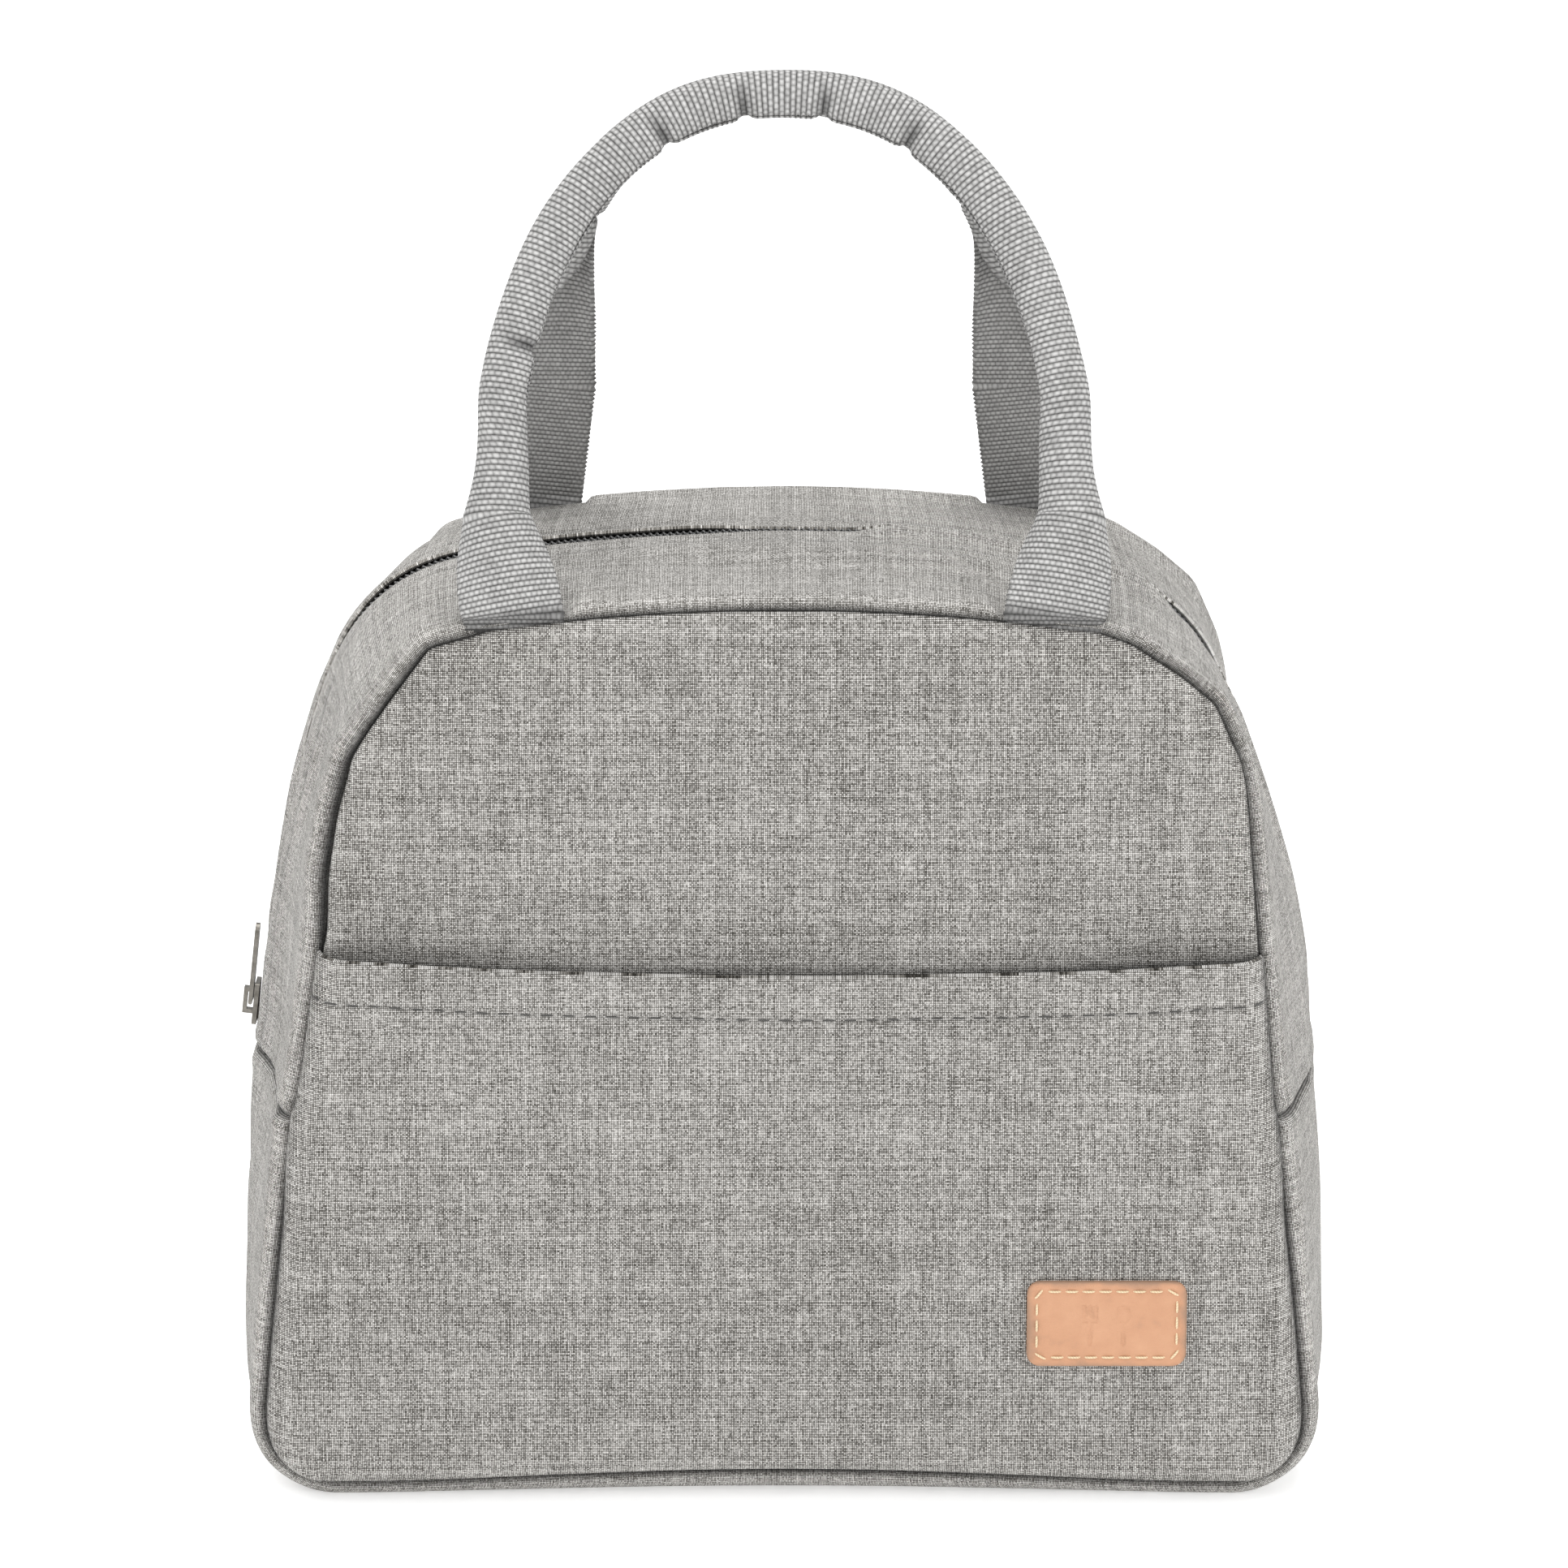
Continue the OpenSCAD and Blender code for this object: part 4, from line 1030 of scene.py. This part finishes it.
def make_binding(name):
    side = SIDES[name]
    line, out = seam_loop()
    turn = np.linspace(0, 2 * math.pi, 16, endpoint=False)
    half_w, half_t = BINDING_W / 2, BINDING_T / 2
    deep = half_w * np.sign(np.cos(turn)) * np.abs(np.cos(turn)) ** 0.35
    wide = half_t * np.sign(np.sin(turn)) * np.abs(np.sin(turn)) ** 0.7
    y_mid = SEAM_Y - SHELL_T + 0.2 - half_t - 0.5
    along = np.r_[0, np.cumsum(np.hypot(*np.diff(line, axis=0).T))]
    wave = 1 + 0.10 * np.sin(along / 2.1)
    rows = []
    for d, w in zip(deep, wide):
        p = line - out * (LINING_OUT + 1.2 + half_w + d)
        rows.append(np.stack([p[:, 0], side * (y_mid + w * wave), p[:, 1]], 1))
    rows = np.array(rows)
    count, size = rows.shape[:2]
    n = np.arange(count * size).reshape(count, size)
    ring = np.vstack([n, n[:1]])
    ahead = np.roll(ring, -1, 1)
    faces = np.stack([ring[:-1], ahead[:-1], ahead[1:], ring[1:]], -1).reshape(-1, 4)
    uv = np.stack(np.broadcast_arrays(along[None], deep[:, None]), -1).reshape(-1, 2)
    obj = new_piece(f"{name}_seam_tape", rows.reshape(-1, 3), faces, uv, BINDING, None, 75)
    fold_with(obj, name, "binding", "seam_binding_base", f"{name}_seam_binding")


# ---- Front pocket ----
POCKET_OUT = PATCH_BACK_Y - 0.05     # its outer face, from the zip's plane
POCKET_EDGE_Y = SEAM_Y - 2.2
POCKET_ROUND = 9.0
HEM_W = 11.0
POCKET_COLS, POCKET_ROWS = 150, 130
POCKET_CREASES = [(-1.2, (-122, 118), (-96, 124), 5), (-0.8, (124, 120), (98, 128), 5)]


def pocket_edge(sign):
    """The sewn edge on one side, from the base line up to the mouth, closer at the corner."""
    line, out = SEAMS[sign], SEAM_NORMALS[sign]
    start = int(np.argmin(np.abs(line[:STEPS[0] + 1, 0] - 100)))
    end = int(np.argmax(line[:, 1] > POCKET_TOP))
    over = 1.3 * hump(line[:, 1], 92, 150, 26)[:, None]
    edge = (line - out * (1.0 - over))[start:end + 1]
    along = np.r_[0, np.cumsum(np.hypot(*np.diff(edge, axis=0).T))]
    share = np.linspace(0, 1, POCKET_ROWS)
    share = along[-1] * (share - 0.8 * np.sin(2 * math.pi * share) / (2 * math.pi))
    return np.stack([np.interp(share, along, edge[:, j]) * (sign if j == 0 else 1) for j in (0, 1)], 1)


def pocket_surface():
    left, right = pocket_edge(-1), pocket_edge(1)
    u = np.sin(np.linspace(-90, 90, POCKET_COLS) * math.pi / 180)[None]
    u = 0.45 * u + 0.55 * np.linspace(-1, 1, POCKET_COLS)[None]
    q = np.linspace(0, 1, POCKET_ROWS)[:, None]
    share = (u + 1) / 2
    x = mix(left[:, :1], right[:, :1], share)
    z = mix(left[:, 1:], right[:, 1:], share)
    low = BASE_Z[0] + 1.0 + BASE_ARCH * (1 - np.clip(x / BASE_RUN[0], -1, 1) ** 2) ** 2
    base_now = mix(left[0, 1], right[0, 1], share)
    height = q - 0.8 * np.sin(2 * math.pi * q) / (2 * math.pi)
    z = z + (low - base_now) * (1 - smooth(height * 2.5))
    mouth = -POCKET_DIP * (1 - u * u) * smooth((height - 0.2) / 0.65)
    z = z + mouth
    half = (right[:, :1] - left[:, :1]) / 2
    side_gap = (1 - np.abs(u)) * half
    base_gap = np.maximum(z - low, 0)
    e = (np.maximum(side_gap, 1e-3) ** -3 + np.maximum(base_gap, 1e-3) ** -3) ** (-1 / 3)
    reach = np.clip(e / POCKET_ROUND, 0, 1)
    rise = np.sqrt(1 - (1 - reach) ** 2)
    calm = 1 - hump(x, patch_left - 3, patch_right + 3, 14) * hump(z, patch_low - 3, patch_high + 3, 10)
    wave = 0.35 * ripple(x, z, 70, 71) + 0.10 * ripple(x, z, 18, 72)
    wave = with_creases(wave, x, z, POCKET_CREASES)
    y = mix(POCKET_EDGE_Y, POCKET_OUT, rise) + wave * calm * smooth(e / 14)
    below = z[-1:] - z
    inside = smooth(e / 6)
    y = y + 0.45 * smooth((HEM_W + 0.6 - below) / 0.9) * inside
    y = y + 0.30 * np.exp(-((below - 1.4) / 1.2) ** 2) * inside
    groove = np.exp(-((below - HEM_W) / 0.6) ** 2)
    y = y - 0.5 * groove * inside
    # Painted shade: darker down at the sewn edges, kept lighter on the left where the edge meets the band's
    # roll, and darker in the hem's groove.
    covered = hump(z, 92, 150, 26) * (x < 0)
    shade = mix(np.interp(e, (0, 0.6, 1.3, 2.4), (0.0, 0.3, 0.8, 1.0)), 0.75, covered * 0.8)
    shade = np.maximum(shade, smooth((e - 1) / 2)) * (1 - 0.28 * groove)
    return np.stack([x, -y, z], -1), shade


def grid_normals(grid):
    du, dv = np.gradient(grid, axis=1), np.gradient(grid, axis=0)
    n = np.cross(du, dv)
    return n / np.maximum(np.linalg.norm(n, axis=-1, keepdims=True), 1e-9)


def make_pocket():
    outer, shade = pocket_surface()
    # Painted shade: the mouth's top rim is darkened, so that it catches less of the light from above.
    shade[-1] *= 0.7
    n = grid_normals(outer)
    n *= np.sign((n * [0, -1, 0]).sum(-1, keepdims=True) + 1e-9)
    inner = outer - n * FABRIC_T
    obj = closed_sheet("front_pocket_cloth", outer, inner, outer[..., [0, 2]], SHELL, 0.6, 75, shade)
    ride_with(obj, "bag_base", "shell", "front_pocket")
    return outer


def stitches(name, centres, directions, length, radius, sink, outward, material):
    """Short threads that lie on a surface, with both ends drawn down into it."""
    t = np.linspace(-1, 1, 9)
    drop = sink * np.abs(t) ** 4
    paths = [c + np.outer(t * length / 2, d) - np.outer(drop, outward) for c, d in zip(centres, directions)]
    radii = radius * np.r_[0.55, 0.85, 1, 1, 1, 1, 1, 0.85, 0.55]
    return sweep(name, paths, radii, [np.array(outward, float)] * len(paths), 8, material)


def make_hem_stitching(surface):
    pitch, length, radius = 5.4, 3.6, 0.30
    below = surface[-1, :, 2][None] - surface[..., 2]
    row = np.argmin(np.abs(below - HEM_W), axis=0)
    line = surface[row, np.arange(surface.shape[1])]
    line[:, 2] = surface[-1, :, 2] - HEM_W
    along = np.r_[0, np.cumsum(np.linalg.norm(np.diff(line, axis=0), axis=1))]
    at = np.arange(6, along[-1] - 6, pitch)
    centre, ahead = (np.stack([np.interp(at + d, along, line[:, j]) for j in range(3)], 1) for d in (0, 0.5))
    d = ahead - centre
    d /= np.linalg.norm(d, axis=1)[:, None]
    centre[:, 1] -= radius * 0.6
    obj = stitches("pocket_hem_stitches", centre, d, length, radius, 0.5, (0, -1, 0), GREY_THREAD)
    ride_with(obj, "bag_base", "thread", "pocket_stitching")


# ---- Leather patch ----
PATCH_R = 3.6
STITCH_INSET = 2.5


def rounded_box(half, r, count):
    """Loop of points on a rounded rectangle about the origin."""
    dense = []
    for j, (sx, sz) in enumerate(((1, 1), (-1, 1), (-1, -1), (1, -1))):
        a = np.radians(90 * j + np.linspace(0, 90, 40))
        dense.append(np.stack([sx * (half[0] - r) + r * np.cos(a), sz * (half[1] - r) + r * np.sin(a)], 1))
    dense = np.vstack(dense)
    closed = np.vstack([dense, dense[:1]])
    along = np.r_[0, np.cumsum(np.hypot(*np.diff(closed, axis=0).T))]
    at = np.linspace(0, along[-1], count, endpoint=False)
    return np.stack([np.interp(at, along, closed[:, j]) for j in (0, 1)], 1), along[-1]


def pictogram(x, z):
    """A fork and a spoon pressed into the leather, 1 in the pressed lines."""
    strokes = [((-4.2, -5.2), (-4.2, 0.4)), ((-5.6, 0.9), (-2.8, 0.9)), ((-5.6, 0.9), (-5.6, 4.8)),
               ((-4.2, 0.9), (-4.2, 4.8)), ((-2.8, 0.9), (-2.8, 4.8)), ((4.2, -5.2), (4.2, 0.2))]
    depth = np.zeros_like(x)
    for a, b in strokes:
        a, b = np.array(a), np.array(b)
        d = b - a
        t = np.clip(((x - a[0]) * d[0] + (z - a[1]) * d[1]) / (d @ d), 0, 1)
        off = np.hypot(x - a[0] - t * d[0], z - a[1] - t * d[1])
        depth = np.maximum(depth, 1 - smooth((off - 0.28) / 0.35))
    bowl = np.hypot((x - 4.2) / 1.7, (z - 2.7) / 2.5)
    return np.maximum(depth, 1 - smooth((bowl - 0.85) / 0.25))


def make_patch():
    rim_line, _ = rounded_box(PATCH_HALF, PATCH_R, 300)
    rows = []
    soft = 0.55
    for r in np.r_[0.02, np.linspace(0.05, 1, 46)]:
        p = rim_line * (1 - soft / PATCH_HALF.min()) * r
        groove = np.abs(np.abs(p) - (PATCH_HALF - STITCH_INSET)).min(1)
        y = PATCH_FRONT_Y - 0.28 * pictogram(p[:, 0], p[:, 1])
        y = y - 0.22 * np.exp(-(groove / 0.8) ** 2) * (r > 0.6)
        rows.append((p, y))
    for a in np.radians([30, 60, 90]):
        share = 1 - soft * (1 - math.sin(a)) / PATCH_HALF.min()
        rows.append((rim_line * share, PATCH_FRONT_Y - soft * (1 - math.cos(a))))
    for r in (1.0, 0.5, 0.02):
        rows.append((rim_line * r, PATCH_BACK_Y))
    solid = [np.stack([p[:, 0] + PATCH_MID[0], -(y + np.zeros(len(p))), p[:, 1] + PATCH_MID[1]], 1)
             for p, y in rows]
    obj = ring_solid("leather_patch_embossed", np.array(solid), LEATHER, 60)
    ride_with(obj, "bag_base", "patch", "leather_patch")
    make_patch_stitches()


def make_patch_stitches():
    line, length = rounded_box(PATCH_HALF - STITCH_INSET, PATCH_R - 1.6, 2000)
    count = round(length / 4.2)
    at = (np.arange(count) + 0.5) * len(line) // count
    ahead = line[(at.astype(int) + 8) % len(line)] - line[at.astype(int) - 8]
    d = np.stack([ahead[:, 0], 0 * ahead[:, 0], ahead[:, 1]], 1)
    d /= np.linalg.norm(d, axis=1)[:, None]
    p = line[at.astype(int)] + PATCH_MID
    centre = np.stack([p[:, 0], np.full(count, -PATCH_FRONT_Y - 0.06), p[:, 1]], 1)
    obj = stitches("patch_stitches", centre, d, 3.3, 0.3, 0.55, (0, -1, 0), CREAM)
    ride_with(obj, "bag_base", "thread", "patch_stitching")


# ---- Handles ----
FOOT_Y, FOOT_Z = SEAM_Y + FABRIC_T + 1, 226.4
LEAN = math.radians(27.3)
# Half span, rise, height of the straight legs, power of the arch, and the heights over which the
# webbing curls into a tube and turns its middle to the outside of the arch
HANDLE_SHAPES = {
    "front": (71.5, 135.5, 27.0, 2.2, (-8.0, 50.0), (22.0, 60.0)),
    "back": (62.0, 134.0, 40.0, 2.3, (46.0, 100.0), (46.0, 100.0)),
}
TUBE_HALF = (5.6, 3.1)
HALF_TURN = math.radians(160)
TUBE_R = WEB_HALF / HALF_TURN
WEBBING_T = 1.4
FOOT_LOW = -4.0


def handle_path(name, step):
    """Even points along the handle's middle line, lying flat: across, and up from the foot line."""
    span, rise, leg_rise, power = HANDLE_SHAPES[name][:4]
    h = np.linspace(FOOT_LOW, leg_rise, 60)[:-1]
    leg = np.stack([-mix(FOOT_X, span, np.maximum(h, 0) / leg_rise), h], 1)
    a = np.radians(180 - np.linspace(0, 180, 400))
    c, s, e = np.cos(a), np.clip(np.sin(a), 0, 1), 2 / power
    arch = np.stack([span * np.sign(c) * np.abs(c) ** e, leg_rise + (rise - leg_rise) * s**e], 1)
    dense = np.vstack([leg, arch, leg[::-1] * [-1, 1]])
    along = np.r_[0, np.cumsum(np.hypot(*np.diff(dense, axis=0).T))]
    at = np.linspace(0, along[-1], int(along[-1] / step))
    return at, np.stack([np.interp(at, along, dense[:, j]) for j in (0, 1)], 1)


def handle_point(name, path, s, off):
    """Points of the webbing: s is -1 at its outer and 1 at its inner edge, off from its middle."""
    curl, turn_up = HANDLE_SHAPES[name][4:]
    t = np.gradient(path, axis=0)
    t /= np.linalg.norm(t, axis=1)[:, None]
    nx, nz = -t[:, 1][:, None], t[:, 0][:, None]
    h = path[:, 1][:, None]
    k = smooth((h - curl[0]) / (curl[1] - curl[0]))
    m = smooth((h - turn_up[0]) / (turn_up[1] - turn_up[0]))
    start = math.pi - math.pi / 2 * m
    turn = HALF_TURN * k * s / 2
    reach = WEB_HALF * s * np.sinc(turn / math.pi)
    wide, deep = mix(1, TUBE_HALF[0] / TUBE_R, k), mix(1, TUBE_HALF[1] / TUBE_R, k)
    face = start + 2 * turn - math.pi / 2
    vx, vy = np.cos(face) / wide, np.sin(face) / deep
    size = np.hypot(vx, vy)
    across = m * TUBE_HALF[0] + np.cos(start + turn) * reach * wide + vx / size * off
    depth = np.sin(start + turn) * reach * deep + vy / size * off
    return path[:, 0][:, None] + nx * across, -depth, h + nz * across


def lean_over(x, depth, h, side):
    """From the flat handle to its place over the bag. Its foot bends down into the seam."""
    down = smooth((2.5 - h) / 6.0)
    y = -FOOT_Y + depth * math.cos(LEAN) + h * math.sin(LEAN) + 5.2 * down
    z = FOOT_Z - depth * math.sin(LEAN) + h * math.cos(LEAN)
    return np.stack([x, -side * y, z], -1)


# Where the tube is creased on the inside of the arch, as shares of the way along it
CREASES = {"front": (0.212, 0.405, 0.47, 0.53, 0.60), "back": (0.3, 0.44, 0.52, 0.68)}


def tube_relief(at, s, name):
    """How far the tube is pinched in, the soft unevenness of its surface, and the painted shade that darkens
    its creases.
    """
    share = (at / at[-1])[:, None]
    inner = smooth((np.abs(s) - 0.3) / 0.45)
    notch = sum(np.exp(-((share - c) * at[-1] / 1.9) ** 2) for c in CREASES[name])
    lean = 0.25 * ripple(at[:, None], s * 9, 34, 81 + SIDES[name])
    return 2.6 * notch * inner + lean, 1 - 0.85 * np.clip(notch, 0, 1) ** 1.5 * inner


def make_handle(name):
    side = SIDES[name]
    body = f"{name}_carry_handle"
    at, path = handle_path(name, 0.7)
    s = np.linspace(-1, 1, 33)[None]
    edge = np.abs(s) ** 12
    scallop = 0.3 * np.cos(2 * math.pi * at / RIB)[:, None] * edge
    grip = smooth((path[:, 1][:, None] - 20) / 30)
    # Painted shade in the creases on the inside of the arch, fading in with the grip.
    relief, shade = tube_relief(at, s, name)
    relief, shade = relief * grip, mix(1, shade, grip)
    wide_s = s * (1 + scallop / WEB_HALF)
    outer = lean_over(*handle_point(name, path, wide_s, WEBBING_T / 2 - relief * 0.6), side)
    inner = lean_over(*handle_point(name, path, wide_s, -WEBBING_T / 2 - relief * 0.6), side)
    # Painted shade: the foot darkens where it goes down into the seam.
    down = smooth((3.5 - path[:, 1][:, None]) / 3.5)
    shade = shade * (1 - 0.6 * down)
    uv = np.stack(np.broadcast_arrays(s * WEB_HALF, at[:, None]), -1)
    face = WEBBING if name == "front" else REAR_WEBBING
    obj = closed_sheet(f"{name}_handle_tape", outer, inner, uv, [face, WEBBING_BACK], 0.7, 75, shade)
    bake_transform(obj)
    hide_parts(f"{name}_handle_webbing")
    make_handle_core(name, body)


def make_handle_core(name, body):
    side = SIDES[name]
    path = handle_path(name, 2.0)[1]
    path = path[path[:, 1] > max(HANDLE_SHAPES[name][4][1], HANDLE_SHAPES[name][5][1])]
    t = np.gradient(path, axis=0)
    t /= np.linalg.norm(t, axis=1)[:, None]
    turn = np.linspace(0, 2 * math.pi, 20, endpoint=False)[None]
    half = [w - WEBBING_T / 2 - 0.9 for w in TUBE_HALF]
    count = np.arange(len(path))
    taper = np.sqrt(np.clip(np.minimum(count, count[::-1]) / 3.0, 0.05, 1))[:, None]
    w = half[0] * np.cos(turn) * taper
    x = path[:, 0][:, None] - t[:, 1][:, None] * w
    h = path[:, 1][:, None] + t[:, 0][:, None] * w
    rows = lean_over(x, half[1] * np.sin(turn) * taper, h, side)
    obj = ring_solid(f"{name}_handle_foam_core", rows, FOAM, 75)
    ride_with(obj, body, "foam", f"{name}_handle_core")


# ---- Stage ----
FLOOR_GLOW = 0.42
WORLD_LIGHT = 0.74
CAMERA_AT = (0, -1.4887, 0.5715)
CAMERA_PITCH = 75
CAMERA_LENS = 136.7
# Place, size in metres and power of each lamp
LAMPS = {
    "key": ((-0.7, -1.4, 1.6), 1.0, 12),
    "fill": ((1.5, -0.9, 0.9), 1.2, 6),
    "top": ((0.0, 0.3, 2.2), 1.8, 32),
}


def make_floor():
    """A large pale floor."""
    points = [(-8, -4, 0), (8, -4, 0), (8, 12, 0), (-8, 12, 0)]
    mesh = bpy.data.meshes.new("floor")
    mesh.from_pydata(points, [], [(0, 1, 2, 3)])
    s = Shader("floor_paint", (0.93, 0.93, 0.93), 0.9, Specular_IOR_Level=0.1)
    tint = s.noise(s.node("TexCoord").outputs["Object"], 3.0)
    s.color(s.ramp(tint, (0.0, (0.92, 0.92, 0.92)), (1.0, (0.94, 0.94, 0.94))))
    s.bsdf.inputs["Emission Color"].default_value = (1, 1, 1, 1)
    s.bsdf.inputs["Emission Strength"].default_value = FLOOR_GLOW
    mesh.materials.append(s.material)
    obj = bpy.data.objects.new("floor", mesh)
    bpy.context.scene.collection.objects.link(obj)


def area_light(name, where, size, power, target=(0, 0, 0.15)):
    light = bpy.data.lights.new(name, "AREA")
    light.shape, light.size, light.energy = "DISK", size, power
    obj = bpy.data.objects.new(name, light)
    obj.location = where
    obj.rotation_mode = "QUATERNION"
    obj.rotation_quaternion = (Vector(target) - Vector(where)).to_track_quat("-Z", "Y")
    bpy.context.scene.collection.objects.link(obj)


def make_light():
    world = bpy.data.worlds.new("studio")
    world.use_nodes = True
    world.node_tree.nodes["Background"].inputs[0].default_value = (1, 1, 1, 1)
    world.node_tree.nodes["Background"].inputs[1].default_value = WORLD_LIGHT
    bpy.context.scene.world = world
    for name, (where, size, power) in LAMPS.items():
        area_light(name, where, size, power)
    bpy.context.scene.view_settings.view_transform = "Standard"


def make_camera():
    camera = bpy.data.cameras.new("camera")
    camera.lens, camera.sensor_width = CAMERA_LENS, 36.0
    camera.clip_start, camera.clip_end = 0.05, 30
    obj = bpy.data.objects.new("camera", camera)
    obj.location = CAMERA_AT
    obj.rotation_euler = (math.radians(CAMERA_PITCH), 0, 0)
    bpy.context.scene.collection.objects.link(obj)
    bpy.context.scene.camera = obj


make_camera()
make_light()
make_floor()
for half in SIDES:
    make_panel(half)
    make_panel_lining(half)
    make_zip_band(half)
    make_zip_tape(half)
    make_zip_coil(half)
    make_binding(half)
    make_handle(half)
make_base_band()
make_band_linings()
finish_metal()
pocket = make_pocket()
make_hem_stitching(pocket)
make_patch()
